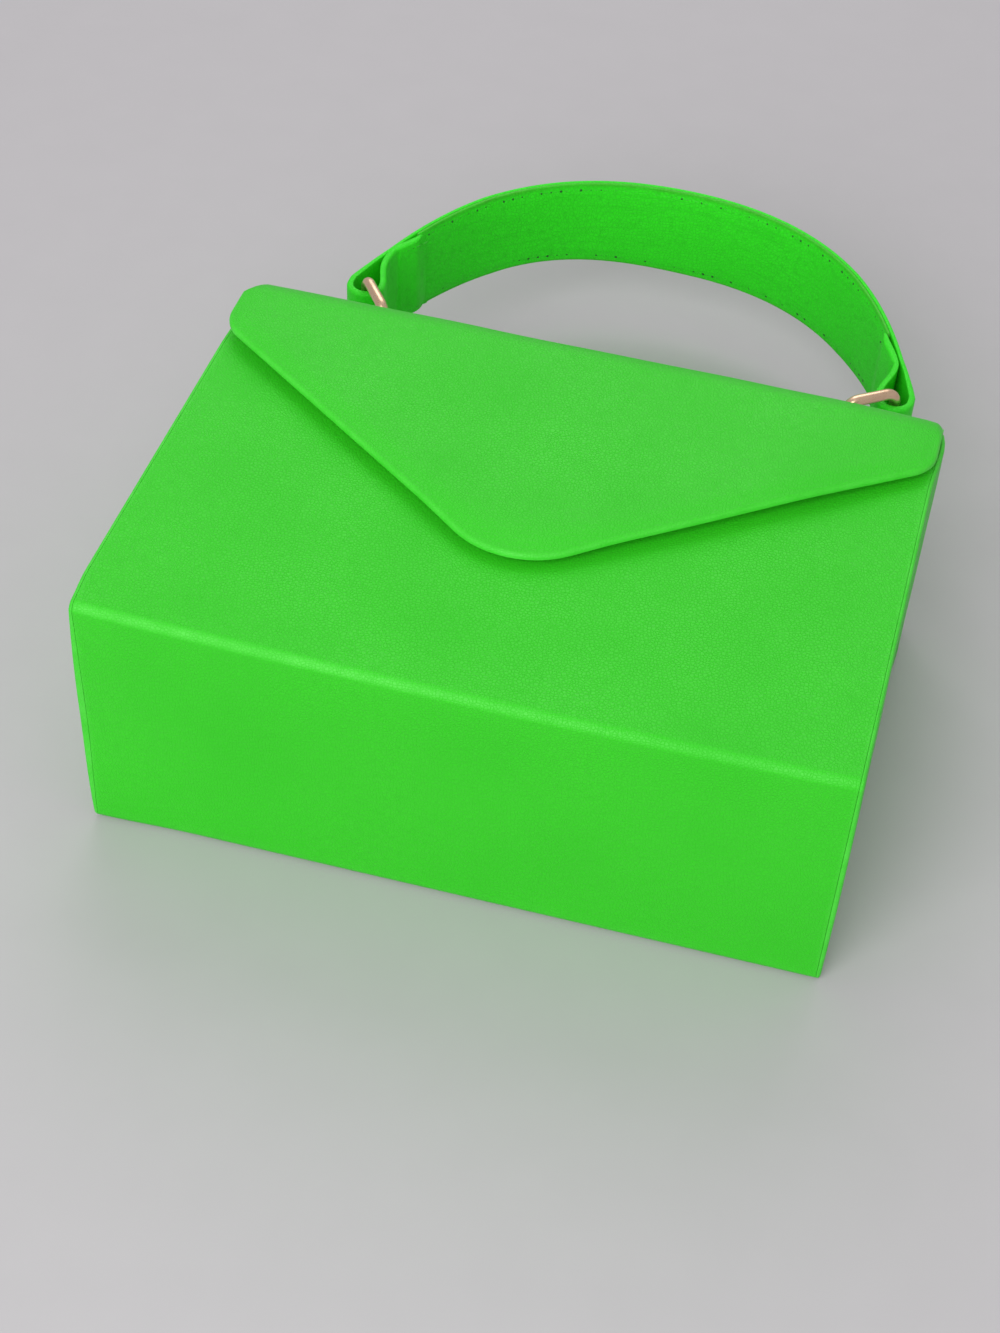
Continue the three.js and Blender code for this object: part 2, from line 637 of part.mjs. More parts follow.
const leftSplay = THREE.MathUtils.degToRad(LEFT_RING_SPLAY);
const rightSplay = THREE.MathUtils.degToRad(RIGHT_RING_SPLAY);

addBodyWalls();
addSidePanel('left', -1);
addSidePanel('right', 1);
addPocket();
addLidCrease();
addSnapSocket();
addLid();
addFlapCrease();
addFlap();
addSnapStud();
addTab('left_ring_tab', -tabX);
addTab('right_ring_tab', tabX);
addRing('left_ring', -tabX, leftSplay);
addRing('right_ring', tabX, -rightSplay);
addHandle(ringBar(-1, leftSplay), ringBar(1, rightSplay));

export default bag;
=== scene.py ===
import json
import math
import bmesh
import bpy
import numpy as np
from mathutils import Euler, Matrix, Vector


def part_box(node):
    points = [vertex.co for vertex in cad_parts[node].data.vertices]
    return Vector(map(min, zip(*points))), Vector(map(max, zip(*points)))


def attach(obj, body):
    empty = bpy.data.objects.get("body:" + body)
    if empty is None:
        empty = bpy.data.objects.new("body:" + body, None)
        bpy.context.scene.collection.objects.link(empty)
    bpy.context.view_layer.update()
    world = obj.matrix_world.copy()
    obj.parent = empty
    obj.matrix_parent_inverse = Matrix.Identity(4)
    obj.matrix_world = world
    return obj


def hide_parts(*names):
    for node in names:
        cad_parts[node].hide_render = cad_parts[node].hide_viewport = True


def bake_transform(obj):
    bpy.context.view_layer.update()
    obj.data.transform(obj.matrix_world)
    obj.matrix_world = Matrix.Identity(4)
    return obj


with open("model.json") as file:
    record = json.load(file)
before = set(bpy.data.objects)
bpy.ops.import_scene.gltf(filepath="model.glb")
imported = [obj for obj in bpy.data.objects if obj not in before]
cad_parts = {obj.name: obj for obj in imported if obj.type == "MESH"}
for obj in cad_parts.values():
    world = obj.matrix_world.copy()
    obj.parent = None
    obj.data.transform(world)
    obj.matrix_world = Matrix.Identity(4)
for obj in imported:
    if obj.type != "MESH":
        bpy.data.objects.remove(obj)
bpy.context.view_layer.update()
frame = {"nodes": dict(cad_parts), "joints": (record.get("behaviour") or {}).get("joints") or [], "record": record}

mm = 0.001  # sizes below are in millimetres unless a note says otherwise
edgeSteps = [0, 0.05, 0.15, 0.32, 0.55, 0.85, 1.2, 1.7]  # close columns at a sheet's edge
innerRound = 0.7  # how round a sheet's inner edge is, as a share of its outer edge
sheetSharp = 42  # degrees from which an edge of a sheet shades sharp
sheetEdgeReach = 1.6  # how far the edge value reaches in from a sheet's edge, where the green skins paint a lighter edge, a painted highlight
quarter = math.pi / 2


# Small helpers

def boxOf(node):
    low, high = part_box(node)
    return np.array(low) / mm, np.array(high) / mm


def jointPlace(name):
    joint = next(j for j in frame["joints"] if j["name"] == name)
    return np.array(joint["pos_m"]) / mm


def ease(value, low, high):
    t = np.clip((np.asarray(value, float) - low) / (high - low), 0, 1)
    return t * t * (3 - 2 * t)


def roundOff(distance, radius):  # how far a rounded edge drops, by the distance from the edge
    left = radius - np.clip(distance, 0, radius)
    return radius - np.sqrt(radius * radius - left * left)


def ripple(a, b, reach):  # slow waves between about minus one and one
    u = np.asarray(a) * 2 * math.pi / reach
    v = np.asarray(b) * 2 * math.pi / reach
    waves = np.sin(u + 0.7 * v + 0.4) + np.sin(0.6 * u - 1.3 * v + 2.1) + np.sin(1.7 * u + 0.5 * v + 4.0)
    return waves / 3


def edgedRange(low, high, middle, steps):  # values with close steps at both ends
    steps = np.array(steps)
    inner = np.linspace(low + steps[-1], high - steps[-1], middle)
    return np.concatenate([low + steps[:-1], inner, (high - steps[:-1])[::-1]])


def bothSides(right):  # mirrors a row of values that starts at zero
    right = np.unique(np.round(right, 4))
    return np.concatenate([-right[:0:-1], right])


def nearEdge(distance, reach=1.5):  # 1 at an edge, fading inwards
    return 1 - ease(distance, 0, reach)


def grid(*parts):  # one array from arrays of its coordinates
    return np.stack(parts, 2)


def unit(vector):
    return np.asarray(vector, float) / np.linalg.norm(vector)


def splitLong(line, step):  # adds points on stretches longer than a step
    split = [line[:1]]
    for a, b in zip(line[:-1], line[1:]):
        count = max(1, math.ceil(np.linalg.norm(b - a) / step))
        split.append(a + (b - a) * (np.arange(1, count + 1) / count)[:, None])
    return np.concatenate(split)


def filletPath(corners, step, arcSteps):  # corners are (a, b, radius), and the two ends have no radius
    points = np.array([c[:2] for c in corners], float)
    line = [points[0]]
    for k in range(1, len(points) - 1):
        back = unit(points[k - 1] - points[k])
        ahead = unit(points[k + 1] - points[k])
        half = math.acos(np.clip(back @ ahead, -1, 1)) / 2
        radius = corners[k][2]
        centre = points[k] + unit(back + ahead) * radius / math.sin(half)
        start = points[k] + back * radius / math.tan(half) - centre
        end = points[k] + ahead * radius / math.tan(half) - centre
        first = math.atan2(start[1], start[0])
        turn = math.atan2(start[0] * end[1] - start[1] * end[0], start @ end)
        line += list(arcLine(*centre, radius, first, first + turn, arcSteps))
    line.append(points[-1])
    return splitLong(np.array(line), step)


def arcLine(x, y, radius, first, last, steps):
    angle = np.linspace(first, last, steps + 1)
    return np.stack([x + radius * np.cos(angle), y + radius * np.sin(angle)], 1)


def bezier(a, b, c, d, t):
    t = np.asarray(t, float)[:, None]
    a, b, c, d = (np.asarray(p, float) for p in (a, b, c, d))
    return a * (1 - t) ** 3 + 3 * b * t * (1 - t) ** 2 + 3 * c * t * t * (1 - t) + d * t ** 3


def mirrorLine(line):
    return (line * [-1, 1])[::-1]


def leftNormals(line):
    along = np.gradient(line, axis=0)
    along /= np.linalg.norm(along, axis=1)[:, None]
    return np.stack([-along[:, 1], along[:, 0]], 1)


def lengths(line):
    return np.concatenate([[0], np.cumsum(np.linalg.norm(np.diff(line, axis=0), axis=1))])


# Meshes

def newPiece(name, mesh, *materials):
    piece = bpy.data.objects.new(name, mesh)
    bpy.context.scene.collection.objects.link(piece)
    for material in materials:
        mesh.materials.append(material)
    return piece


def dress(piece, body, slot, *nodes):
    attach(piece, body)
    if nodes:
        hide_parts(*nodes)
    return piece


def closedSheet(name, outer, inner, materials, uv, edge, keep=None):  # two grids joined at their rims
    rows, cols = outer.shape[:2]
    index = np.arange(rows * cols).reshape(rows, cols)
    if keep is None:
        keep = np.ones((rows - 1, cols - 1), bool)
    quads = grid(index[:-1, :-1], index[:-1, 1:], index[1:, 1:], index[1:, :-1])[keep]
    flat = outer.reshape(-1, 3)
    facing = np.cross(flat[quads[:, 1]] - flat[quads[:, 0]], flat[quads[:, 3]] - flat[quads[:, 0]])
    outwards = flat[quads[:, 0]] - inner.reshape(-1, 3)[quads[:, 0]]
    if (facing * outwards).sum() < 0:
        quads = quads[:, ::-1]
    sides = np.concatenate([quads[:, [k, (k + 1) % 4]] for k in range(4)]).tolist()
    known = {tuple(side) for side in sides}
    rim = np.array([side for side in sides if (side[1], side[0]) not in known])
    shift = rows * cols
    walls = np.stack([rim[:, 1], rim[:, 0], rim[:, 0] + shift, rim[:, 1] + shift], 1)
    faces = np.concatenate([quads, quads[:, ::-1] + shift, walls])
    used, faces = np.unique(faces, return_inverse=True)
    faces = faces.reshape(-1, 4)
    points = np.concatenate([flat, inner.reshape(-1, 3)])[used] * mm
    mesh = bpy.data.meshes.new(name)
    mesh.from_pydata(points.tolist(), [], faces.tolist())
    mesh.shade_smooth()
    mesh.set_sharp_from_angle(angle=math.radians(sheetSharp))
    corners = np.zeros(len(mesh.loops), np.int32)
    mesh.loops.foreach_get("vertex_index", corners)
    spread = np.concatenate([uv.reshape(-1, 2)] * 2)[used] * mm
    mesh.uv_layers.new(name="sheetMap").data.foreach_set("uv", spread[corners].astype(np.float32).ravel())
    edgeTone = np.concatenate([edge.ravel()] * 2)[used]
    mesh.attributes.new("edge", "FLOAT", "POINT").data.foreach_set("value", edgeTone.astype(np.float32))
    if len(materials) > 1:  # the rim's walls take the second material
        order = np.zeros(len(faces), np.int32)
        order[-len(walls):] = 1
        mesh.polygons.foreach_set("material_index", order)
    mesh.validate()
    return newPiece(name, mesh, *materials)


# A sheet that follows a line and runs across it between two limits. place(a, b, c) puts a point of the line's
# plane at c across it, and the other functions take (a, b, c, distance from the sheet's edge).
def sweptSheet(name, line, low, high, place, thickness, materials, middle=40, rounding=0.5, facing=1,
               back=None, rise=None, under=None, reach=None, bend=None, edge=None):
    normals = leftNormals(line) * facing
    low = np.broadcast_to(low, len(line))[:, None]
    high = np.broadcast_to(high, len(line))[:, None]
    steps = np.array(edgeSteps)[None, :]
    first, last = low + steps[:, -1:], high - steps[:, -1:]
    c = np.concatenate([low + steps[:, :-1], first + (last - first) * np.linspace(0, 1, middle)[None, :],
                        (high - steps[:, :-1])[:, ::-1]], 1)
    a, b = line[:, :1] + 0 * c, line[:, 1:] + 0 * c
    distance = np.minimum(c - low, high - c)
    if reach is not None:
        distance = reach(a, b, c, distance)
    height = -roundOff(distance, rounding)
    depth = -thickness + roundOff(distance, rounding * innerRound if back is None else back)
    if rise is not None:
        height = height + rise(a, b, c, distance)
    if under is not None:
        depth = depth + under(a, b, c, distance)
    outer = place(a + normals[:, :1] * height, b + normals[:, 1:] * height, c)
    inner = place(a + normals[:, :1] * depth, b + normals[:, 1:] * depth, c)
    if bend is not None:
        outer, inner = bend(outer), bend(inner)
    uv = grid(lengths(line)[:, None] + 0 * c, c)
    edgeTone = nearEdge(distance, sheetEdgeReach) if edge is None else edge(a, b, c, distance)
    return closedSheet(name, outer, inner, materials, uv, edgeTone)


def acrossX(a, b, c):  # a line in Y and Z, run along X
    return grid(c, a, b)


# Node trees

def fill(tree, sockets, values):  # links sockets and sets plain values
    for key, value in values.items():
        if isinstance(value, bpy.types.NodeSocket):
            tree.links.new(value, sockets[key])
        else:
            sockets[key].default_value = value


def addNode(tree, kind, inputs=None, **settings):
    node = tree.nodes.new(kind)
    for key, value in settings.items():
        setattr(node, key, value)
    fill(tree, node.inputs, inputs or {})
    return node


def output(tree, kind, inputs=None, **settings):  # a new node's first output
    return addNode(tree, kind, inputs, **settings).outputs[0]


def mathNode(tree, operation, *values):
    return output(tree, "ShaderNodeMath", dict(enumerate(values)), operation=operation)


def mixColour(tree, factor, first, second):
    return addNode(tree, "ShaderNodeMix", {0: factor, 6: first, 7: second}, data_type="RGBA").outputs[2]


def noise(tree, place, scale, detail, **settings):
    inputs = {"Vector": place, "Scale": scale, "Detail": detail, **settings}
    return addNode(tree, "ShaderNodeTexNoise", inputs).outputs["Fac"]


def remap(tree, value, low, high, toLow, toHigh):
    inputs = {"Value": value, "From Min": low, "From Max": high, "To Min": toLow, "To Max": toHigh}
    return output(tree, "ShaderNodeMapRange", inputs)


def shaderGroup(name, inputs, outputs):
    tree = bpy.data.node_groups.new(name, "ShaderNodeTree")
    for label, value in inputs:
        kind = "NodeSocketVector" if value is None else "NodeSocketFloat"
        socket = tree.interface.new_socket(label, in_out="INPUT", socket_type=kind)
        if value is not None:
            socket.default_value = value
    for label in outputs:
        tree.interface.new_socket(label, in_out="OUTPUT", socket_type="NodeSocketFloat")
    return tree, addNode(tree, "NodeGroupInput").outputs, addNode(tree, "NodeGroupOutput").inputs


def makeLeatherGrain():  # pebbled grain, fine pores and slow mottling, in cells to the metre
    tree, given, out = shaderGroup(
        "leatherGrain", [("Place", None), ("Pebbles", 1100.0), ("Pores", 4200.0), ("Mottling", 26.0)],
        ["Height", "Crease", "Mottle"])
    warp = addNode(tree, "ShaderNodeTexNoise", {"Vector": given["Place"], "Scale": 420.0, "Detail": 2.0})
    push = output(tree, "ShaderNodeVectorMath", {0: warp.outputs["Color"], 1: (0.0005, 0.0005, 0.0005)},
                  operation="MULTIPLY")
    moved = output(tree, "ShaderNodeVectorMath", {0: given["Place"], 1: push}, operation="ADD")
    cells = output(tree, "ShaderNodeTexVoronoi", {"Vector": moved, "Scale": given["Pebbles"]},
                   feature="DISTANCE_TO_EDGE")
    crease = remap(tree, cells, 0.0, 0.22, 1.0, 0.0)
    dome = mathNode(tree, "SUBTRACT", 1.0, mathNode(tree, "POWER", crease, 1.6))
    pores = noise(tree, given["Place"], scale=given["Pores"], detail=3.0)
    fill(tree, out, {"Height": mathNode(tree, "MULTIPLY_ADD", pores, 0.45, dome), "Crease": crease,
                     "Mottle": noise(tree, given["Place"], scale=given["Mottling"], detail=5.0)})
    return tree


def makeEdgeMask():  # a broken mask along edges, from the mesh's own edge value
    tree, given, out = shaderGroup("edgeMask", [("Place", None), ("Edge", 0.0), ("Breakup", 160.0)], ["Mask"])
    uneven = remap(tree, noise(tree, given["Place"], scale=given["Breakup"], detail=4.0), 0.3, 0.75, 0.35, 1.0)
    fill(tree, out, {"Mask": mathNode(tree, "MULTIPLY", given["Edge"], uneven)})
    return tree


def makeTwill():  # diagonal weave, in threads to the metre
    tree, given, out = shaderGroup("twillWeave", [("Map", None), ("Threads", 1900.0)], ["Height"])
    parts = addNode(tree, "ShaderNodeSeparateXYZ", {0: given["Map"]}).outputs
    u, v = (mathNode(tree, "MULTIPLY", part, given["Threads"]) for part in parts[:2])
    total = mathNode(tree, "ADD", mathNode(tree, "FLOOR", u), mathNode(tree, "FLOOR", v))
    over = mathNode(tree, "LESS_THAN", mathNode(tree, "FLOORED_MODULO", total, 4.0), 2.0)
    warp, weft = (mathNode(tree, "SINE", mathNode(tree, "MULTIPLY", mathNode(tree, "FRACT", w), math.pi))
                  for w in (u, v))
    lift = mathNode(tree, "SUBTRACT", warp, weft)
    fill(tree, out, {"Height": mathNode(tree, "MULTIPLY_ADD", lift, over, weft)})
    return tree


leatherGrain = makeLeatherGrain()
edgeMask = makeEdgeMask()
twillWeave = makeTwill()
print("shader groups ready")


# Materials

def startMaterial(name):
    material = bpy.data.materials.new(name)
    material.use_nodes = True
    tree = material.node_tree
    surface = next(n for n in tree.nodes if n.type == "BSDF_PRINCIPLED")
    place = addNode(tree, "ShaderNodeTexCoord").outputs["Object"]
    return material, tree, surface, place


def useGroup(tree, group, **inputs):
    return addNode(tree, "ShaderNodeGroup", inputs, node_tree=group).outputs


def brokenEdgeMask(tree, place, **inputs):  # the mesh's own edge value, broken up
    edge = addNode(tree, "ShaderNodeAttribute", attribute_name="edge").outputs["Fac"]
    return useGroup(tree, edgeMask, Place=place, Edge=edge, **inputs)["Mask"]


def addBump(tree, surface, height, strength, distance):  # the distance is in metres
    bump = output(tree, "ShaderNodeBump", {"Height": height, "Strength": strength, "Distance": distance})
    fill(tree, surface.inputs, {"Normal": bump})


def leather(name, colour, deep, edgeTone, rough, pebbles=1100.0, bump=0.35, edgeMix=0.35, speckle=0.5, streaks=0.0):
    material, tree, surface, place = startMaterial(name)
    grain = useGroup(tree, leatherGrain, Place=place, Pebbles=pebbles)
    dark = remap(tree, grain["Mottle"], 0.35, 0.7, 0.0, 0.45)
    specks = remap(tree, noise(tree, place, scale=480.0, detail=3.0), 0.42, 0.78, 0.0, speckle)
    dark = mathNode(tree, "MAXIMUM", dark, specks)
    if streaks:  # long marks that follow the strap
        sheet = output(tree, "ShaderNodeUVMap", uv_map="sheetMap")
        long = output(tree, "ShaderNodeMapping", {"Vector": sheet, "Scale": (45.0, 620.0, 1.0)})
        marks = remap(tree, noise(tree, long, scale=1.0, detail=2.0), 0.42, 0.8, 0.0, streaks)
        dark = mathNode(tree, "MAXIMUM", dark, marks)
    shade = mixColour(tree, dark, colour, deep)
    # the grain's creases are darkened towards the deep colour: painted shade
    shade = mixColour(tree, mathNode(tree, "MULTIPLY", grain["Crease"], 0.4), shade, deep)
    # Along the mesh's edge value the colour goes to the third colour: a lighter green on bagSkin and strapSkin, a
    # painted highlight on their edges and on the base's front ridge; a darker olive on strapInside.
    shade = mixColour(tree, mathNode(tree, "MULTIPLY", brokenEdgeMask(tree, place), edgeMix), shade, edgeTone)
    gloss = remap(tree, grain["Mottle"], 0.3, 0.7, rough - 0.05, rough + 0.06)
    fill(tree, surface.inputs, {"Base Color": shade, "Roughness": gloss, "Specular IOR Level": 0.3})
    addBump(tree, surface, grain["Height"], strength=bump, distance=0.00012)
    return material


def cutEdge(name, colour, pale):  # raw edge of the strap, with its fibres
    material, tree, surface, place = startMaterial(name)
    fibre = noise(tree, place, scale=1500.0, detail=4.0)
    shade = mixColour(tree, remap(tree, fibre, 0.35, 0.65, 0.0, 1.0), colour, pale)
    fill(tree, surface.inputs, {"Base Color": shade, "Roughness": 0.8})
    addBump(tree, surface, fibre, strength=0.5, distance=0.0001)
    return material


def liningCloth(name, colour, light):
    material, tree, surface, place = startMaterial(name)
    weave = useGroup(tree, twillWeave, Map=output(tree, "ShaderNodeUVMap", uv_map="sheetMap"))["Height"]
    slub = noise(tree, place, scale=130.0, detail=5.0)
    # the weave's raised threads are mixed towards the lighter colour: painted highlight on the thread crests, uneven
    # by the slub noise
    shade = mixColour(tree, mathNode(tree, "MULTIPLY", weave, slub), colour, light)
    gloss = remap(tree, slub, 0.3, 0.7, 0.74, 0.9)
    fill(tree, surface.inputs, {"Base Color": shade, "Roughness": gloss, "Sheen Weight": 0.25})
    addBump(tree, surface, weave, strength=0.6, distance=0.00015)
    return material


def platedMetal(name, colour, dull, rough):
    material, tree, surface, place = startMaterial(name)
    drawn = output(tree, "ShaderNodeMapping", {"Vector": place, "Scale": (900.0, 900.0, 5200.0)})
    scratch = noise(tree, drawn, scale=1.0, detail=3.0)
    bloom = remap(tree, noise(tree, place, scale=240.0, detail=3.0), 0.35, 0.7, 0.0, 0.6)
    dulled = mathNode(tree, "MAXIMUM", bloom, brokenEdgeMask(tree, place, Breakup=700.0))
    gloss = remap(tree, scratch, 0.3, 0.75, rough - 0.05, rough + 0.12)
    fill(tree, surface.inputs, {"Base Color": mixColour(tree, dulled, colour, dull), "Metallic": 1.0,
                                "Roughness": gloss})
    addBump(tree, surface, scratch, strength=0.08, distance=0.00003)
    return material


def pressedBoard(name, colour, speck):
    material, tree, surface, place = startMaterial(name)
    fibre = noise(tree, place, scale=700.0, detail=6.0, Roughness=0.7)
    shade = mixColour(tree, remap(tree, fibre, 0.4, 0.65, 0.0, 1.0), colour, speck)
    fill(tree, surface.inputs, {"Base Color": shade, "Roughness": remap(tree, fibre, 0.3, 0.7, 0.82, 0.95)})
    addBump(tree, surface, fibre, strength=0.4, distance=0.0001)
    return material


def sewingThread(name, colour, deep):
    material, tree, surface, place = startMaterial(name)
    inputs = {"Vector": place, "Scale": 900.0, "Distortion": 1.5}
    twist = addNode(tree, "ShaderNodeTexWave", inputs, bands_direction="DIAGONAL").outputs["Fac"]
    # the twist's bands mix the deep colour into the thread: painted shade in the grooves of the twist
    fill(tree, surface.inputs, {"Base Color": mixColour(tree, twist, deep, colour),
                                "Roughness": remap(tree, twist, 0.0, 1.0, 0.62, 0.5)})
    addBump(tree, surface, twist, strength=0.4, distance=0.00006)
    return material


tones = {  # linear colours
    # the skin's third green, the lighter one, is a painted highlight for its edges and its front ridge
    "skin": (0.036, 0.605, 0.014, 1), "skinDeep": (0.024, 0.52, 0.009, 1), "skinHighlight": (0.1, 0.76, 0.07, 1),
    # the strap's greens are painted brighter than the skin's, a lit copy of the same leather that makes up for less
    # light falling on the strap
    "strap": (0.033, 0.84, 0.013, 1), "strapDeep": (0.02, 0.62, 0.008, 1), "strapHighlight": (0.07, 0.86, 0.04, 1),
    "edge": (0.06, 0.4, 0.03, 1), "edgePale": (0.1, 0.56, 0.06, 1), "olive": (0.065, 0.34, 0.025, 1),
    "thread": (0.05, 0.62, 0.03, 1), "threadDeep": (0.022, 0.45, 0.012, 1),
    # the hole greens colour dark beads at the leather's stitch holes: painted shade
    "hole": (0.01, 0.18, 0.007, 1), "holeShadeDeep": (0.005, 0.09, 0.004, 1),
    "cloth": (0.035, 0.035, 0.04, 1), "clothLight": (0.11, 0.11, 0.12, 1),
    "darkThread": (0.09, 0.09, 0.1, 1), "darkThreadDeep": (0.04, 0.04, 0.045, 1),
    "gold": (0.83, 0.58, 0.4, 1), "goldDull": (0.74, 0.48, 0.31, 1),
    "iron": (0.12, 0.12, 0.13, 1), "ironDull": (0.06, 0.06, 0.065, 1),
    "card": (0.33, 0.27, 0.19, 1), "cardSpeck": (0.22, 0.17, 0.12, 1),
}
# each leather's third colour goes along its edges: a lighter green, a painted highlight, on bagSkin and strapSkin; a
# darker olive on strapInside
bagSkin = leather("bagSkin", tones["skin"], tones["skinDeep"], tones["skinHighlight"], 0.46, bump=0.6, edgeMix=0.6)
strapSkin = leather("strapSkin", tones["strap"], tones["strapDeep"], tones["strapHighlight"], 0.5, bump=0.8, speckle=0.7)
strapInside = leather("strapInside", tones["strap"], tones["strapDeep"], tones["olive"], 0.55, edgeMix=0.75,
                      pebbles=900.0, bump=0.9, speckle=0.9, streaks=0.8)
strapEdge = cutEdge("strapEdge", tones["edge"], tones["edgePale"])
twill = liningCloth("twill", tones["cloth"], tones["clothLight"])
roseGold = platedMetal("roseGold", tones["gold"], tones["goldDull"], 0.3)
magnetIron = platedMetal("magnetIron", tones["iron"], tones["ironDull"], 0.45)
stiffBoard = pressedBoard("stiffBoard", tones["card"], tones["cardSpeck"])
greenThread = sewingThread("greenThread", tones["thread"], tones["threadDeep"])
# dark beads for the leather's stitch holes, painted shade in the holes
stitchHoleShade = sewingThread("stitchHoleShade", tones["hole"], tones["holeShadeDeep"])
darkThread = sewingThread("darkThread", tones["darkThread"], tones["darkThreadDeep"])
print("materials ready")


# The box: wrap, back crease and side panels

box = {
    "skin": 1.0, "ridgeRadius": 2.8, "mouthRadius": 1.1, "lip": 3.4, "seamRound": 0.14, "sideRound": 0.85,
    "sideBack": 0.12, "seamGap": 0.04,
    "backJoin": 60.0, "lidJoin": 4.0, "creaseRadius": 3.0,
    "bow": 1.5, "bowReach": 45.0, "frontPuff": 0.5, "leftPuff": 1.2, "rightPuff": 0.4, "wave": 0.12,
    "footBow": 0.7, "footReach": 30.0, "footRise": 40.0, "footOut": 0.1, "footLean": 1.05,
    "leftInset": 0.9, "insetFrom": 40.0, "insetReach": 14.0, "rightFlare": 1.0, "leftTuck": 0.7,
    "flareReach": 26.0, "flareTop": 6.0,
    "wrapWave": 58.0, "wrapStill": 12.0, "flatBack": (0.5, 6.0), "frontFrom": 1.0,
    "sideWave": 47.0, "sideStill": 10.0, "mouthStill": 12.0, "puffTop": 30.0, "puffShares": (0.55, 0.45),
    "puffGrows": (-40.0, 60.0), "cornerRows": 9,
    # the ridge, foot and seam entries below set the painted highlight along the base's edges
    "ridgeLit": (1.0, 2.8), "ridgeFade": 0.7, "ridgeFades": (-70.0, 60.0), "footLit": (1.2, 4.0), "footShare": 0.5,
    "seamLit": 1.4, "seamShare": 0.4,
}
wrapLow, wrapHigh = boxOf("outer_wrap")
sideHigh = boxOf("right_side_skin")[1]
lidLow, lidHigh = boxOf("top_skin")
baseY, depth = wrapLow[1], wrapHigh[2]
faceX, mouthY = sideHigh[0], sideHigh[1]
wrapHalf = faceX - box["skin"] - box["seamGap"]
topY, lidInner, lidHalf = lidHigh[1], lidLow[1], lidHigh[0]


def bowBase(points):  # the base swells out at the front's edge, and its foot and left end are a little askew
    x, y, z = points[..., 0], points[..., 1], points[..., 2]
    near = 1 - ease(y, baseY, baseY + box["bowReach"])
    swell = box["bow"] * ease(z, 0, depth) * np.clip(1 - (x / faceX) ** 2, 0, 1)
    corner = box["footBow"] * (1 - ease(x, -faceX, -faceX + box["footReach"]))
    foot = box["footOut"] - box["footLean"] * x / faceX + corner
    moved = points.copy()
    moved[..., 1] -= (swell + foot * (1 - ease(z, 0, box["footRise"]))) * near
    end = ease(-x, faceX - box["insetFrom"], faceX) * (1 - ease(y, baseY, baseY + box["insetReach"]))
    mouth = ease(y, mouthY - box["flareReach"], mouthY - box["flareTop"])
    flare = box["rightFlare"] * (1 - ease(y, mouthY - box["flareTop"], mouthY)) * ease(x, faceX - box["lip"], faceX)
    tuck = box["leftTuck"] * ease(-x, faceX - box["insetFrom"], faceX)
    moved[..., 0] += box["leftInset"] * end + (flare + tuck) * mouth
    return moved


def wrapRise(y, z, x, distance):
    along = np.clip((y - baseY) / (mouthY - baseY), 0, 1)
    puff = box["frontPuff"] * (1 - (x / wrapHalf) ** 2) * np.sin(math.pi * along)
    puff = puff * ease(z, depth - box["frontFrom"], depth)
    wave = box["wave"] * ripple(x, y + z, box["wrapWave"]) * ease(distance, 0, box["wrapStill"])
    return (puff + wave) * ease(z, *box["flatBack"])  # the back stays flat on the surface


def ridgeHighlight(y, z, x, distance):  # painted highlight along the base's edges, strongest on the front ridge and less of it to the right, weaker along the foot and the side seams
    ridge = 1 - ease(np.hypot(y - baseY, z - depth), *box["ridgeLit"])
    ridge = ridge * (1 - box["ridgeFade"] * ease(x, *box["ridgeFades"]))
    foot = 1 - ease(np.hypot(y - baseY, z), *box["footLit"])
    side = nearEdge(distance, box["seamLit"])
    return np.maximum(np.maximum(ridge, box["footShare"] * foot), box["seamShare"] * side)


def makeWrap():
    line = filletPath([
        (mouthY, depth - box["lip"]), (mouthY, depth, box["mouthRadius"]), (baseY, depth, box["ridgeRadius"]),
        (baseY, 0, box["ridgeRadius"]), (box["backJoin"], 0)], step=3.0, arcSteps=10)
    piece = sweptSheet("bagWrap", line, -wrapHalf, wrapHalf, acrossX, box["skin"], [bagSkin], middle=66,
                       rounding=box["seamRound"], rise=wrapRise, facing=-1, bend=bowBase, edge=ridgeHighlight)
    dress(piece, "body", "green_leather", "outer_wrap")


def makeBackCrease():
    radius = box["creaseRadius"]
    line = filletPath([(box["backJoin"], 0), (topY, 0, radius), (topY, box["lidJoin"])], step=1.5, arcSteps=12)
    half = wrapHalf + (lidHalf - wrapHalf) * ease(line[:, 0], topY - radius, topY)
    piece = sweptSheet("backCrease", line, -half, half, acrossX, box["skin"], [bagSkin], middle=66,
                       rounding=box["seamRound"], facing=-1)
    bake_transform(piece)
    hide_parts("lid_crease")


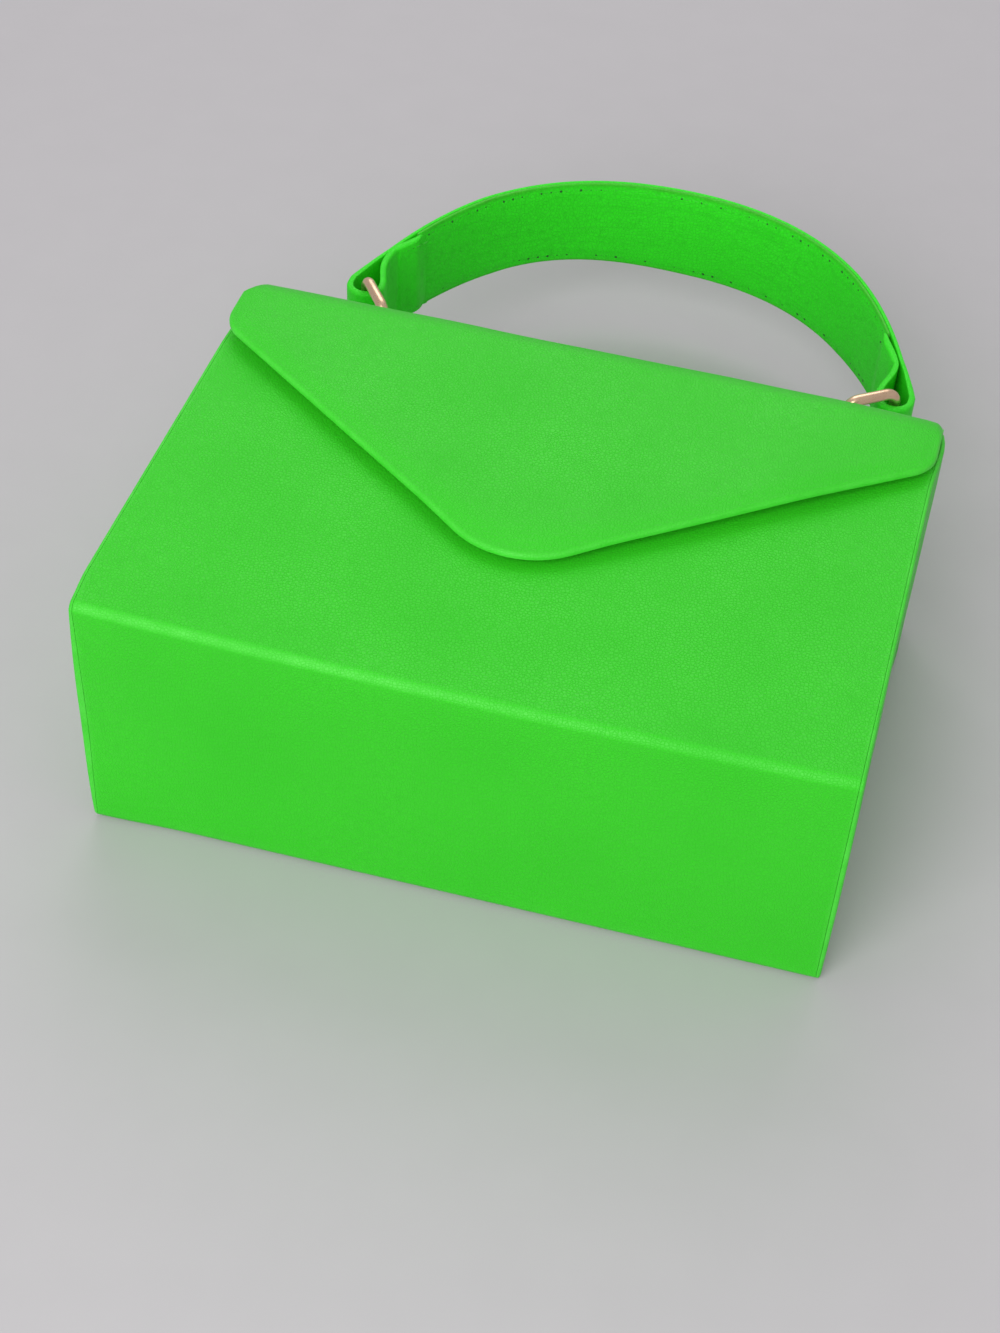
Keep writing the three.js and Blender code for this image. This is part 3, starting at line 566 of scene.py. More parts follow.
def makeSide(name, side, puff):
    corner, mouth = box["ridgeRadius"], box["mouthRadius"]
    line = filletPath([(faceX - box["lip"], mouthY), (faceX, mouthY, mouth), (faceX, baseY + corner)],
                      step=3.0, arcSteps=8)
    angle = np.linspace(0, quarter, box["cornerRows"] + 1)[1:]
    rounded = np.stack([faceX + 0 * angle, baseY + corner - corner * np.sin(angle)], 1)
    line = np.concatenate([line, rounded])
    drop = np.clip(baseY + corner - line[:, 1], 0, corner)
    inset = corner - np.sqrt(corner ** 2 - drop ** 2)
    lip = 1 - ease(mouthY - line[:, 1], 0, mouth)  # 1 on the lip that turns in at the mouth

    def reach(x, y, z, distance):  # from the panel's rounded outline
        dy, dz = y - baseY, np.minimum(z, depth - z)
        bent = corner - np.hypot(corner - dy, corner - dz)
        panel = np.where((dy < corner) & (dz < corner), bent, np.minimum(dy, dz))
        return np.clip(np.where(y > mouthY - mouth, distance, panel), 0, None)

    def rise(x, y, z, distance):
        swell = np.clip(1 - (2 * z / depth - 1) ** 2, 0, 1) * np.clip((mouthY - y) / box["puffTop"], 0, 1)
        wave = box["wave"] * ripple(y, z, box["sideWave"]) * ease(distance, 0, box["sideStill"])
        wave = wave * ease(mouthY - y, 0, box["mouthStill"])
        least, more = box["puffShares"]
        return puff * swell * (least + more * ease(-y, *box["puffGrows"])) + wave

    def place(a, b, c):
        return grid(side * a, b, c)

    piece = sweptSheet(f"{name}SidePanel", line, inset + lip * mouth, depth - inset - lip * box["lip"], place,
                       box["skin"], [bagSkin], middle=30, rounding=box["sideRound"], back=box["sideBack"],
                       rise=rise, reach=reach, bend=bowBase)
    dress(piece, "body", "green_leather", f"{name}_side_skin")


makeWrap()
makeBackCrease()
makeSide("left", -1, box["leftPuff"])
makeSide("right", 1, box["rightPuff"])
print("box ready")


# The lid and flap: one sheet, with slots for the ring tabs

flap = {
    "skin": 1.0, "foldRadius": 12.0, "length": 93.0, "side": 27.0, "tipRadius": 26.0, "cornerRadius": 12.0,
    "rim": 1.0, "rimSpare": 0.05, "edgeThick": 2.1, "edgeRound": 1.2, "underShare": 0.6,
    "foldRim": 3.0, "foldRoundLeft": 5.6, "foldRoundRight": 2.8, "least": 0.35, "leastTurn": 0.01,
    "roll": 0.75, "rollReach": 7.0, "endDroop": 1.3, "endReach": 36.0, "droop": 1.0, "droopFrom": -8.0,
    "cutBack": 1.7, "cutFrom": 30.0, "wave": 0.14, "waveReach": 66.0, "still": 15.0, "edgeTone": 1.4,
    "lidFade": (6.0, 3.0), "clear": 0.4, "bendFrom": 0.32, "slotWidth": 3.8, "slotSpare": 0.5,
    "liningInset": 1.1, "lining": 0.6, "liningRound": 0.4, "liningWave": 0.08, "liningReach": 40.0,
    "liningStill": 8.0, "liningSteps": (0, 0.002, 0.006, 0.012, 0.02, 0.032, 0.05),  # shares of its length
    "columns": 34, "arcColumns": 12, "arcSpare": 1.5, "endSteps": (0, 0.05, 0.16, 0.36, 0.7),
    "lidRows": 22, "foldRows": 21, "flapRows": 30, "boardRows": 26,
    "lastRows": (0.055, 0.038, 0.027, 0.019, 0.013, 0.008, 0.0045, 0.002, 0.0007, 0),  # shares from the lower edge
}
flapLow, flapHigh = boxOf("flap_skin")
flapTop, flapInner, tipY = flapHigh[2], flapLow[2], flapLow[1]
foldY, foldZ = topY - flap["foldRadius"], flapTop - flap["foldRadius"]
topRun = foldZ - box["lidJoin"]
foldRun = topRun + flap["foldRadius"] * quarter
tabX, barY, ringZ = jointPlace("right_ring_swing")


def flapShape(inset):  # the flap's outline, drawn in by an inset
    half = lidHalf - inset
    fall = flap["length"] - flap["side"] - flap["tipRadius"]
    slope = math.atan2(fall, lidHalf) + math.asin(flap["tipRadius"] / math.hypot(lidHalf, fall))
    tip, corner = flap["tipRadius"] - inset, flap["cornerRadius"] - inset
    tipCentre = tipY + flap["tipRadius"]
    touchX, touchY = tip * math.sin(slope), tipCentre - tip * math.cos(slope)
    cornerX = half - corner
    alongX = cornerX + corner * math.sin(slope)
    cornerY = touchY + (alongX - touchX) * math.tan(slope) + corner * math.cos(slope)

    def low(x):  # the outline's lower side
        x = np.abs(x)
        onTip = tipCentre - np.sqrt(np.clip(tip ** 2 - x ** 2, 0, None))
        onSlant = touchY + (x - touchX) * math.tan(slope)
        onCorner = cornerY - np.sqrt(np.clip(corner ** 2 - (x - cornerX) ** 2, 0, None))
        return np.where(x < touchX, onTip, np.where(x < alongX, onSlant, onCorner))

    def distance(x, y):  # how far inside the outline
        x = np.abs(x)
        slant = (y - touchY) * math.cos(slope) - (x - touchX) * math.sin(slope)
        inside = np.minimum(slant, half - x)
        inTip = x < math.tan(slope) * (tipCentre - y)
        inCorner = (y < cornerY) & (x - cornerX > math.tan(slope) * (cornerY - y))
        inside = np.where(inTip, tip - np.hypot(x, y - tipCentre), inside)
        inside = np.where(inCorner, corner - np.hypot(x - cornerX, y - cornerY), inside)
        return np.clip(inside, 0, None)

    arc = cornerX + corner * np.cos(np.linspace(0, quarter - slope, flap["arcColumns"]))
    near = half - np.array(flap["endSteps"])
    columns = np.concatenate([np.linspace(0, cornerX - flap["arcSpare"], flap["columns"]), arc, near])
    return low, distance, columns


def flapSag(x, y):  # the flap hangs lower at its tip and its right end
    tip = flap["droop"] * ease(y, flap["droopFrom"], tipY)
    return tip + flap["endDroop"] * ease(x, lidHalf - flap["endReach"], lidHalf)


flapEdge = flapShape(0)[0]


def flapShift(x, y):  # the right end is cut a little shorter
    share = np.clip((foldY - y) / (foldY - flapEdge(x)), 0, 1)
    return flap["cutBack"] * ease(x, flap["cutFrom"], lidHalf) * share


def makeFlapSheet():
    low, distance, columns = flapShape(0)
    slotX = tabX + np.array([-0.5, 0.5]) * flap["slotWidth"]
    tabLow, tabHigh = boxOf("right_ring_tab")
    slotS = np.array([tabLow[2] - flap["slotSpare"], tabHigh[2] + flap["slotSpare"]]) - box["lidJoin"]
    x = bothSides(np.concatenate([columns, slotX]))
    topRows = np.unique(np.concatenate([np.linspace(0, topRun, flap["lidRows"]), slotS]))
    foldRows = np.linspace(topRun, foldRun, flap["foldRows"])[1:]
    closing = 1 - np.array(flap["lastRows"])
    share = np.concatenate([np.linspace(0, closing[0], flap["flapRows"])[1:-1], closing])
    straight = np.concatenate([topRows, foldRows])[:, None] + 0 * x[None, :]
    s = np.concatenate([straight, foldRun + share[:, None] * (foldY - low(x))[None, :]])
    x = x[None, :] + 0 * s

    turn = np.clip((s - topRun) / flap["foldRadius"], 0, quarter)
    y = np.where(s > foldRun, foldY - (s - foldRun), foldY + flap["foldRadius"] * np.cos(turn))
    z = np.where(s < topRun, box["lidJoin"] + s, foldZ + flap["foldRadius"] * np.sin(turn))
    d = np.where(s > foldRun, distance(x, y), np.clip(lidHalf - np.abs(x), 0, None))
    bent = np.sin(2 * turn)
    foldRound = np.where(x < 0, flap["foldRoundLeft"], flap["foldRoundRight"])
    drop = roundOff(d, flap["edgeRound"] + (foldRound - flap["edgeRound"]) * bent)
    drop = drop + flap["roll"] * (1 - ease(d, 0, flap["rollReach"])) * ease(s, topRun, foldRun)
    sag = flapSag(x, y) * ease(s, topRun, foldRun)
    sine, cosine = (np.maximum(part(turn), flap["leastTurn"]) for part in (np.sin, np.cos))
    room = flap["foldRadius"] - np.minimum((mouthY - foldY) / cosine, (depth - foldZ + sag) / sine)
    room = np.where(turn < quarter, room - flap["clear"], drop + flap["foldRim"] + flap["least"])
    drop = np.minimum(drop, room - flap["least"])
    height = flap["wave"] * ripple(x, s, flap["waveReach"]) * ease(d, 0, flap["still"]) - drop
    before, after = flap["lidFade"]
    onLid = 1 - ease(s, topRun - before, topRun + after)
    rim = onLid * (topY - lidInner) + (1 - onLid) * flap["edgeThick"]
    rim = rim + (flap["foldRim"] - rim) * bent
    under = roundOff(d, flap["edgeRound"] * flap["underShare"])
    under = under - np.where(d < flap["rim"] + flap["rimSpare"], rim, flap["skin"])
    under = np.maximum(np.minimum(under, -drop - flap["least"]), -room)
    shift = flapShift(x, y)

    def points(h):
        return grid(x, y + shift + np.cos(turn) * h, z + np.sin(turn) * h - sag)

    middleX = np.abs(x[:-1, :-1] + x[:-1, 1:]) / 2
    middleS = (s[:-1, :-1] + s[1:, :-1]) / 2
    slot = (np.abs(middleX - tabX) < flap["slotWidth"] / 2) & (middleS > slotS[0]) & (middleS < slotS[1])
    # the flap's edge value gives bagSkin's lighter edge along the outline, a painted highlight
    piece = closedSheet("flapSheet", points(height), points(under), [bagSkin], grid(s, x),
                        nearEdge(d, flap["edgeTone"]), ~slot)
    foldFrom, foldTo = np.array((0, topY + 0.5, foldZ - 0.5)), np.array((0, foldY - 0.5, flapTop + 0.5))
    foldFrom = foldFrom + flap["bendFrom"] * (foldTo - foldFrom)  # moved a share of the way towards the other point; neither point is used further
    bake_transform(piece)
    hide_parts("top_skin", "flap_crease", "flap_skin")


def makeFlapLining():
    low, distance, columns = flapShape(flap["liningInset"])
    x = bothSides(columns)
    startY = boxOf("flap_lining")[1][1]
    share = edgedRange(0, 1, flap["flapRows"], flap["liningSteps"])
    y = startY + share[:, None] * (low(x) - startY)[None, :]
    x = x[None, :] + 0 * y
    d = np.minimum(distance(x, y), startY - y)
    wave = flap["liningWave"] * (1 + ripple(x, y, flap["liningReach"])) * ease(d, 0, flap["liningStill"])
    face = flapInner + roundOff(d, flap["liningRound"]) + wave - flapSag(x, y)
    back = flapInner + flap["lining"] - flapSag(x, y)
    moved = y + flapShift(x, y)
    piece = closedSheet("flapLining", grid(x, moved, face), grid(x, moved, back), [strapSkin],
                        grid(y, x), nearEdge(d))
    dress(piece, "flap", "green_leather", "flap_lining")


def makeFlapBoard():  # bent like the leather over it
    boardLow, boardHigh = boxOf("flap_board")
    low, _, columns = flapShape(lidHalf - boardHigh[0])
    x = bothSides(columns)
    y = boardHigh[1] + np.linspace(0, 1, flap["boardRows"])[:, None] * (low(x) - boardHigh[1])[None, :]
    x = x[None, :] + 0 * y

    def level(z):
        return grid(x, y + flapShift(x, y), z - flapSag(x, y))

    piece = closedSheet("flapBoard", level(boardHigh[2]), level(boardLow[2]), [stiffBoard], grid(y, x), 0 * y)
    dress(piece, "flap", "board", "flap_board")


makeFlapSheet()
makeFlapLining()
makeFlapBoard()
print("flap ready")


# Linings and the slip pocket

cloth = {"thick": 0.6, "pucker": 0.12, "cornerRadius": 0.6, "turnIn": 1.4, "edgeRound": 0.2, "wave": 37.0,
         "still": 6.0, "sideRound": 0.25, "sideWave": 41.0, "sideRows": 44, "sideSteps": (0, 0.1, 0.3, 0.7, 1.3)}
pocket = {"corner": 8.0, "gape": 0.9, "gapeFrom": 12.0, "edgeRound": 0.3, "mouthSpare": 3.0,
          "wave": 0.1, "waveReach": 33.0, "still": 6.0, "columns": 26, "arcColumns": 9, "rows": 30,
          "endSteps": (0, 0.1, 0.3, 0.7), "rowSteps": (0, 0.002, 0.006, 0.014, 0.03),
          "hemColumns": 50, "hemRounds": (0.5, 0.55), "hemSeam": 1.6, "hemPoints": 90,
          "stitchInset": 2.2, "pitch": 2.8, "stitch": 2.0, "thread": 0.45, "hole": 0.35}


def liningRise(y, z, x, distance):
    return cloth["pucker"] * (ripple(x, y + z, cloth["wave"]) - 1) / 2 * ease(distance, 0, cloth["still"])


def makeFoldedLining(name, node, corners, body, facing):  # follows its boards and turns over their edges
    low, high = boxOf(node)
    line = filletPath(corners, step=3.0, arcSteps=6)
    piece = sweptSheet(name, line, low[0], high[0], acrossX, cloth["thick"], [twill], middle=60,
                       rounding=cloth["edgeRound"], rise=liningRise, facing=facing)
    dress(piece, body, "lining_cloth", node)


def sideLining(name, low, high, side):  # flat on its board, but for a slight pucker
    y = edgedRange(low[1], high[1], cloth["sideRows"], cloth["sideSteps"])[:, None]
    z = edgedRange(low[2], high[2], cloth["sideRows"], cloth["sideSteps"])[None, :]
    d = np.minimum(np.minimum(y - low[1], high[1] - y), np.minimum(z - low[2], high[2] - z))
    y, z = y + 0 * d, z + 0 * d
    face, back = (high[0], low[0]) if side > 0 else (low[0], high[0])
    swell = cloth["pucker"] * (1 + ripple(y, z, cloth["sideWave"])) / 2 * ease(d, 0, cloth["still"])
    outer = grid(face - side * (roundOff(d, cloth["sideRound"]) - swell), y, z)
    return closedSheet(name, outer, grid(back + 0 * d, y, z), [twill], grid(y, z), nearEdge(d))


def makeLinings():
    thick, corner = cloth["thick"], cloth["cornerRadius"]
    low, high = boxOf("body_lining")
    back, front, base, edge = low[2] + thick, high[2] - thick, low[1] + thick, high[1] + thick
    makeFoldedLining("bodyLining", "body_lining", [
        (edge, back - thick - cloth["turnIn"]), (edge, back, corner), (base, back, corner), (base, front, corner),
        (high[1], front)], "body", -1)

    low = boxOf("top_lining")[0]
    boardLow, boardHigh = boxOf("top_board")
    under, over, deep = boardLow[2] - thick, boardHigh[2] + thick, boardLow[1] + cloth["turnIn"]
    makeFoldedLining("topLining", "top_lining", [
        (deep, under), (low[1], under, corner), (low[1], over, corner), (deep, over)], "lid", 1)

    for name, node, side, board in (("leftSideLining", "left_side_lining", 1, "left_side_board"),
                                    ("rightSideLining", "right_side_lining", -1, "right_side_board")):
        low, high = boxOf(node)
        piece = sideLining(name, low, high, side)
        dress(piece, "body", "lining_cloth", node)


def pocketGape(x, y, low, high):  # it stands a little open at its mouth
    return pocket["gape"] * ease(y, low[1] + pocket["gapeFrom"], high[1]) * np.clip(1 - (x / high[0]) ** 2, 0, 1)


def makePocket():
    low, high = boxOf("slip_pocket")
    half, corner = high[0], pocket["corner"]
    arc = half - corner + corner * np.sin(np.linspace(0, quarter, pocket["arcColumns"]))
    middle, ends = np.linspace(0, half - corner, pocket["columns"]), half - np.array(pocket["endSteps"])
    x = bothSides(np.concatenate([middle, arc, ends]))
    into = np.clip(np.abs(x) - (half - corner), 0, corner)
    bottom = low[1] + corner - np.sqrt(corner ** 2 - into ** 2)
    share = edgedRange(0, 1, pocket["rows"], pocket["rowSteps"])
    y = bottom[None, :] + share[:, None] * (high[1] - bottom)[None, :]
    x = x[None, :] + 0 * y
    d = np.minimum(np.minimum(y - bottom[None, :], half - np.abs(x)),
                   high[1] - y + pocket["mouthSpare"])
    lift = pocketGape(x, y, low, high)
    lift = lift + pocket["wave"] * ripple(x, y, pocket["waveReach"]) * ease(d, 0, pocket["still"])
    face = high[2] - roundOff(d, pocket["edgeRound"]) + lift
    back = low[2] + lift
    piece = closedSheet("slipPocket", grid(x, y, face), grid(x, y, back), [twill],
                        grid(y, x), nearEdge(d))
    dress(piece, "body", "lining_cloth", "slip_pocket")

    hemLow, hemHigh = boxOf("pocket_hem")
    across = edgedRange(hemLow[0], hemHigh[0], pocket["hemColumns"], pocket["endSteps"])
    lower, upper = pocket["hemRounds"]
    section = filletPath([(hemLow[1], hemLow[2]), (hemLow[1], hemHigh[2], lower), (hemHigh[1], hemHigh[2], upper),
                          (hemHigh[1], hemLow[2])], step=1.5, arcSteps=6)
    lift = pocketGape(across, high[1], low, high)[None, :]
    y = section[:, :1] + 0 * lift
    outer = grid(across[None, :] + 0 * y, y, section[:, 1:] + lift)
    inner = grid(across[None, :] + 0 * y, y, hemLow[2] + lift + 0 * y)
    d = np.broadcast_to(np.minimum(across - hemLow[0], hemHigh[0] - across)[None, :], y.shape)
    hem = closedSheet("pocketHem", outer[1:-1], inner[1:-1], [twill], grid(y, outer[..., 0])[1:-1],
                      nearEdge(d)[1:-1])
    dress(hem, "body", "lining_cloth", "pocket_hem")
    return piece, hem


makeLinings()
slipPocket, pocketHem = makePocket()
print("linings ready")


# Rings, tabs and handle

ring = {"wire": 3.4, "link": 16.0, "tall": 32.6, "corner": 3.6, "cornerSteps": 12, "wireSides": 28,
        "leftSplay": 36.5, "rightSplay": -55.0}  # the splay in degrees


def geometryTree(name, inputs):
    tree = bpy.data.node_groups.new(name, "GeometryNodeTree")
    tree.interface.new_socket("Geometry", in_out="INPUT", socket_type="NodeSocketGeometry")
    tree.interface.new_socket("Geometry", in_out="OUTPUT", socket_type="NodeSocketGeometry")
    for label, kind in inputs:
        tree.interface.new_socket(label, in_out="INPUT", socket_type=f"NodeSocket{kind}")
    return tree, addNode(tree, "NodeGroupInput").outputs, addNode(tree, "NodeGroupOutput").inputs


def finishTree(tree, geometry, material, out):
    real = output(tree, "GeometryNodeRealizeInstances", {"Geometry": geometry})
    fill(tree, out, {0: output(tree, "GeometryNodeSetMaterial", {"Geometry": real, "Material": material})})


def pieceFromNodes(name, tree, values, source, turn=None):
    work = newPiece("nodeWork", source)
    modifier = work.modifiers.new("nodes", "NODES")
    modifier.node_group = tree
    for item in tree.interface.items_tree:
        if item.in_out == "INPUT" and item.name in values:
            modifier[item.identifier] = values[item.name]
    graph = bpy.context.evaluated_depsgraph_get()
    mesh = bpy.data.meshes.new_from_object(work.evaluated_get(graph), preserve_all_data_layers=True, depsgraph=graph)
    bpy.data.objects.remove(work)
    mesh.name = name
    if turn is not None:
        mesh.transform(turn)
    return newPiece(name, mesh)


def makeRingTree():  # a rounded rectangle of round wire
    tree, given, out = geometryTree("wireRing", [
        ("Link", "Float"), ("Tall", "Float"), ("Corner", "Float"), ("Wire", "Float"),
        ("Corner Steps", "Int"), ("Wire Sides", "Int"), ("Material", "Material")])
    outline = output(tree, "GeometryNodeCurvePrimitiveQuadrilateral",
                     {"Width": given["Link"], "Height": given["Tall"]})
    bent = output(tree, "GeometryNodeFilletCurve", {
        "Curve": outline, "Count": given["Corner Steps"], "Radius": given["Corner"]}, mode="POLY")
    half = mathNode(tree, "MULTIPLY", given["Wire"], 0.5)
    section = output(tree, "GeometryNodeCurvePrimitiveCircle", {"Resolution": given["Wire Sides"], "Radius": half})
    wire = output(tree, "GeometryNodeCurveToMesh", {"Curve": bent, "Profile Curve": section})
    smooth = output(tree, "GeometryNodeSetShadeSmooth", {"Geometry": wire})
    finishTree(tree, smooth, given["Material"], out)
    return tree


def makeRings():
    tree = makeRingTree()
    values = {"Link": ring["link"] * mm, "Tall": ring["tall"] * mm, "Corner": ring["corner"] * mm,
              "Wire": ring["wire"] * mm, "Corner Steps": ring["cornerSteps"], "Wire Sides": ring["wireSides"],
              "Material": roseGold}
    upright = Matrix(((0, 0, 1, 0), (1, 0, 0, ring["link"] / 2 * mm), (0, 1, 0, 0), (0, 0, 0, 1)))
    for name in ("left", "right"):
        pivot = Matrix.Translation(Vector(jointPlace(f"{name}_ring_swing") * mm))
        turn = pivot @ Matrix.Rotation(math.radians(ring[f"{name}Splay"]), 4, "Z") @ upright
        piece = pieceFromNodes(f"{name}Ring", tree, values, bpy.data.meshes.new("ringSource"), turn)
        dress(piece, f"{name}_ring", "gold_metal", f"{name}_ring")


tab = {"width": 26.5, "sheet": 1.3, "legGap": 0.2, "neck": 9.0, "foot": 12.0, "bend": 0.6, "clearance": 0.3,
       "edgeRound": 0.4, "stitchInset": 2.4, "seamDown": 12.0, "seamEnd": 25.0, "stitch": 2.2}


def tabLine():  # the strip's outer face, about the ring's bar
    footTop = boxOf("right_ring_tab")[0][1] + tab["sheet"] - barY
    leg = tab["legGap"] / 2 + tab["sheet"]
    loop = ring["wire"] / 2 + tab["clearance"] + tab["sheet"]
    foot = [(-tab["foot"], footTop - tab["sheet"])]
    bend = arcLine(-leg - tab["bend"], footTop - tab["sheet"] + tab["bend"], tab["bend"], -quarter, 0, steps=8)
    neck = bezier((-leg, -tab["neck"]), (-leg, -tab["neck"] / 2), (-loop, -tab["neck"] / 2), (-loop, 0),
                  np.linspace(0, 1, 15))
    half = np.concatenate([foot, bend, neck[:-1], arcLine(0, 0, loop, math.pi, quarter, steps=14)])
    return splitLong(np.concatenate([half, mirrorLine(half)[1:]]), step=1.6)


def makeTabs():
    for name in ("left", "right"):
        pivot = jointPlace(f"{name}_ring_swing")
        piece = sweptSheet(f"{name}RingTab", tabLine() + pivot[:2], pivot[2] - tab["width"] / 2,
                           pivot[2] + tab["width"] / 2, grid, tab["sheet"], [strapSkin, strapEdge], middle=16,
                           rounding=tab["edgeRound"])
        dress(piece, "lid", "green_leather", f"{name}_ring_tab")


handle = {
    "rise": 82.0, "width": 31.0, "endWidth": 26.5, "taperFrom": 12.0, "taperTo": 55.0,
    "skin": 1.3, "core": 0.5, "lining": 0.9, "glue": 0.1, "loopRadius": 3.9, "loopOut": 0.8, "loopClearance": 0.6,
    "footRise": 4.0, "shoulderIn": 12.0, "shoulderRise": 44.0, "crownReach": 53.0,
    "layerStart": 0.235, "coreInset": 3.0, "turnEnd": 0.255, "endCorner": 3.0, "squeeze": 0.012,
    "leftTurn": (0.148, 2.65, 9.0, 6.0, 0.0),  # crease place and depth, eases from it and into the loop, loop turn
    "rightTurn": (0.128, 3.5, 5.0, 6.5, 0.5),
    "pinch": 0.3, "pinchFrom": 1.2, "pinchReach": 3.4, "pinchRise": (14.0, 22.0),
    "edgeRound": 0.6, "backRound": 0.3, "coreRound": 0.1, "liningRound": 0.36,
    "puff": 0.7, "puffRound": 1.05, "puffEnd": 6.0, "skive": 1.2, "puffFade": 0.14,
    "creaseDip": 0.6, "creaseWidth": 1.1,
    "leftLift": 2.2, "leftLiftAt": -50.0, "leftLiftTo": 5.0, "rightLift": 1.5, "rightLiftFrom": 62.0,
    "stitchInset": 2.3, "pitch": 3.3, "stitch": 2.3, "thread": 0.55, "hole": 0.8, "endHole": 0.5,
    "seamFrom": 0.1, "insideSeam": 0.015, "endSeam": (0.025, 0.027),  # as shares of half the arch
}


def ringBar(name):  # where the strap's loop goes round the ring
    pivot, angle = jointPlace(f"{name}_ring_swing"), math.radians(ring[f"{name}Splay"])
    return pivot[:2] + ring["link"] * np.array([-math.sin(angle), math.cos(angle)])


leftBar, rightBar = ringBar("left"), ringBar("right")
handleMiddle = (leftBar + rightBar) / 2
handleSpan = np.linalg.norm(rightBar - leftBar)
handleAlong = (rightBar - leftBar) / handleSpan
handleUp = np.array([-handleAlong[1], handleAlong[0]])
loopX = handleSpan / 2 + handle["loopOut"]
loopY = handle["loopRadius"] - ring["wire"] / 2 - handle["loopClearance"]
loopOuter = handle["loopRadius"] + handle["skin"]
footX = loopX + loopOuter
archPoints = np.array([
    (-footX, handle["footRise"]), (-footX + handle["shoulderIn"], handle["shoulderRise"]),
    (-handle["crownReach"], handle["rise"]), (0, handle["rise"])])
liningDepth = handle["skin"] + handle["core"] + 2 * handle["glue"]
turnDepth = liningDepth + handle["lining"] + handle["glue"] + handle["skin"]


def archLine(first, last, below, steps):  # the left half of the arch, at a depth below its outer face
    t = np.linspace(first, last, steps + 1)
    a, b, c, d = archPoints
    share = t[:, None]
    slope = (b - a) * (1 - share) ** 2 + 2 * (c - b) * share * (1 - share) + (d - c) * share ** 2
    slope /= np.linalg.norm(slope, axis=1)[:, None]
    return bezier(a, b, c, d, t) + np.stack([slope[:, 1], -slope[:, 0]], 1) * below


def wholeArch(first, below):
    half = archLine(first, 1, below, steps=64)
    return np.concatenate([half, mirrorLine(half)[1:]])


def handlePlace(a, b, c):
    a = np.asarray(a) * np.where(np.asarray(a) > 0, 1 - handle["squeeze"], 1)  # the right side is a little narrower
    flat = handleMiddle + a[..., None] * handleAlong + np.asarray(b)[..., None] * handleUp
    return np.concatenate([flat, (ringZ + np.asarray(c))[..., None]], -1)


def halfWidth(y):
    t = np.clip((y - handle["taperFrom"]) / (handle["taperTo"] - handle["taperFrom"]), 0, 1)
    return (handle["endWidth"] + (handle["width"] - handle["endWidth"]) * t) / 2


def strapEdges(line):  # the lower edge is drawn up on the left and at the right end
    x, half = line[:, 0], halfWidth(line[:, 1])
    middle = handle["leftLiftAt"]
    left = ease(x, -footX, middle) * (1 - ease(x, middle, handle["leftLiftTo"]))
    right = ease(x, handle["rightLiftFrom"], footX)
    return handle["leftLift"] * left + handle["rightLift"] * right - half, half


def turnedLine(first, last, crease, deep, lift, steps):  # a turned end's outer face climbs over the lining's end
    cover = ease(np.linspace(first, last, steps + 1), crease, handle["layerStart"])
    depth = deep + (turnDepth - deep) * cover + lift
    return archLine(first, last, depth[:, None], steps)


def strapEnd(crease, deep, leave, reach, into):  # a turned end from its cut edge round the ring, and its padding
    end = turnedLine(handle["turnEnd"], crease, crease, deep, lift=0, steps=22)
    away = np.array([math.sin(into), math.cos(into)])
    enters = np.array([-loopX, loopY]) + loopOuter * np.array([away[1], -away[0]])
    leaves = end[-1] + unit(end[-1] - end[-2]) * leave
    leg = bezier(end[-1], leaves, enters + away * reach, enters, np.linspace(0, 1, 21))
    loop = arcLine(-loopX, loopY, loopOuter, -into, -math.pi, steps=24)
    line = np.concatenate([end[:-1], leg[:-1], loop])
    run = lengths(line)
    pressed = np.exp(-((run - run[len(end) - 1]) / handle["creaseWidth"]) ** 2)
    pad = (1 + handle["skive"]) * ease(run, 0, handle["puffEnd"]) - handle["skive"]  # thinned towards the cut edge
    return line, pad - handle["creaseDip"] * pressed


def strapFace():  # the strap's outer face, from one turned end round to the other
    left, leftPuff = strapEnd(*handle["leftTurn"])
    right, rightPuff = strapEnd(*handle["rightTurn"])
    arch = wholeArch(0, 0)
    archPuff = 1 - ease(1 - np.abs(np.linspace(-1, 1, len(arch))), 0, handle["puffFade"])
    line = np.concatenate([left, arch, mirrorLine(right)])
    return line, np.concatenate([leftPuff, archPuff, rightPuff[::-1]])[:, None]


def pinched(x, y, z, distance):  # the layers press together at the stitched edges
    near = 1 - ease(distance, handle["pinchFrom"], handle["pinchReach"])
    return -handle["pinch"] * near * ease(y, *handle["pinchRise"])


def makeStrap():
    line, padded = strapFace()

    def rise(x, y, z, distance):
        return pinched(x, y, z, distance) + handle["puff"] * padded

    rounding = handle["edgeRound"] + (handle["puffRound"] - handle["edgeRound"]) * padded
    run = lengths(line)
    corner = roundOff(np.minimum(run, run[-1] - run), handle["endCorner"])  # the cut ends have rounded corners
    low, high = strapEdges(line)
    piece = sweptSheet("handleStrap", line, low + corner, high - corner, handlePlace, handle["skin"], [strapSkin],
                       middle=22, rounding=rounding, back=handle["backRound"], rise=rise, under=pinched)
    dress(piece, "handle", "green_leather", "handle_strap")
    line = wholeArch(handle["layerStart"], handle["skin"] + handle["glue"])
    half = halfWidth(line[:, 1]) - handle["coreInset"]
    piece = sweptSheet("handleCore", line, -half, half, handlePlace, handle["core"], [stiffBoard], middle=12,
                       rounding=handle["coreRound"])
    dress(piece, "handle", "board", "handle_core")
    line = wholeArch(handle["layerStart"], liningDepth + handle["lining"])
    piece = sweptSheet("handleLining", line, *strapEdges(line), handlePlace, handle["lining"],
                       [strapInside, strapEdge], middle=22, rounding=handle["liningRound"], rise=pinched,
                       under=pinched, facing=-1)
    dress(piece, "handle", "green_leather", "handle_lining")


makeRings()
makeTabs()
makeStrap()
print("handle ready")


# Stitches and the holes between them, along guide lines; on the leather the holes are dark beads, painted shade

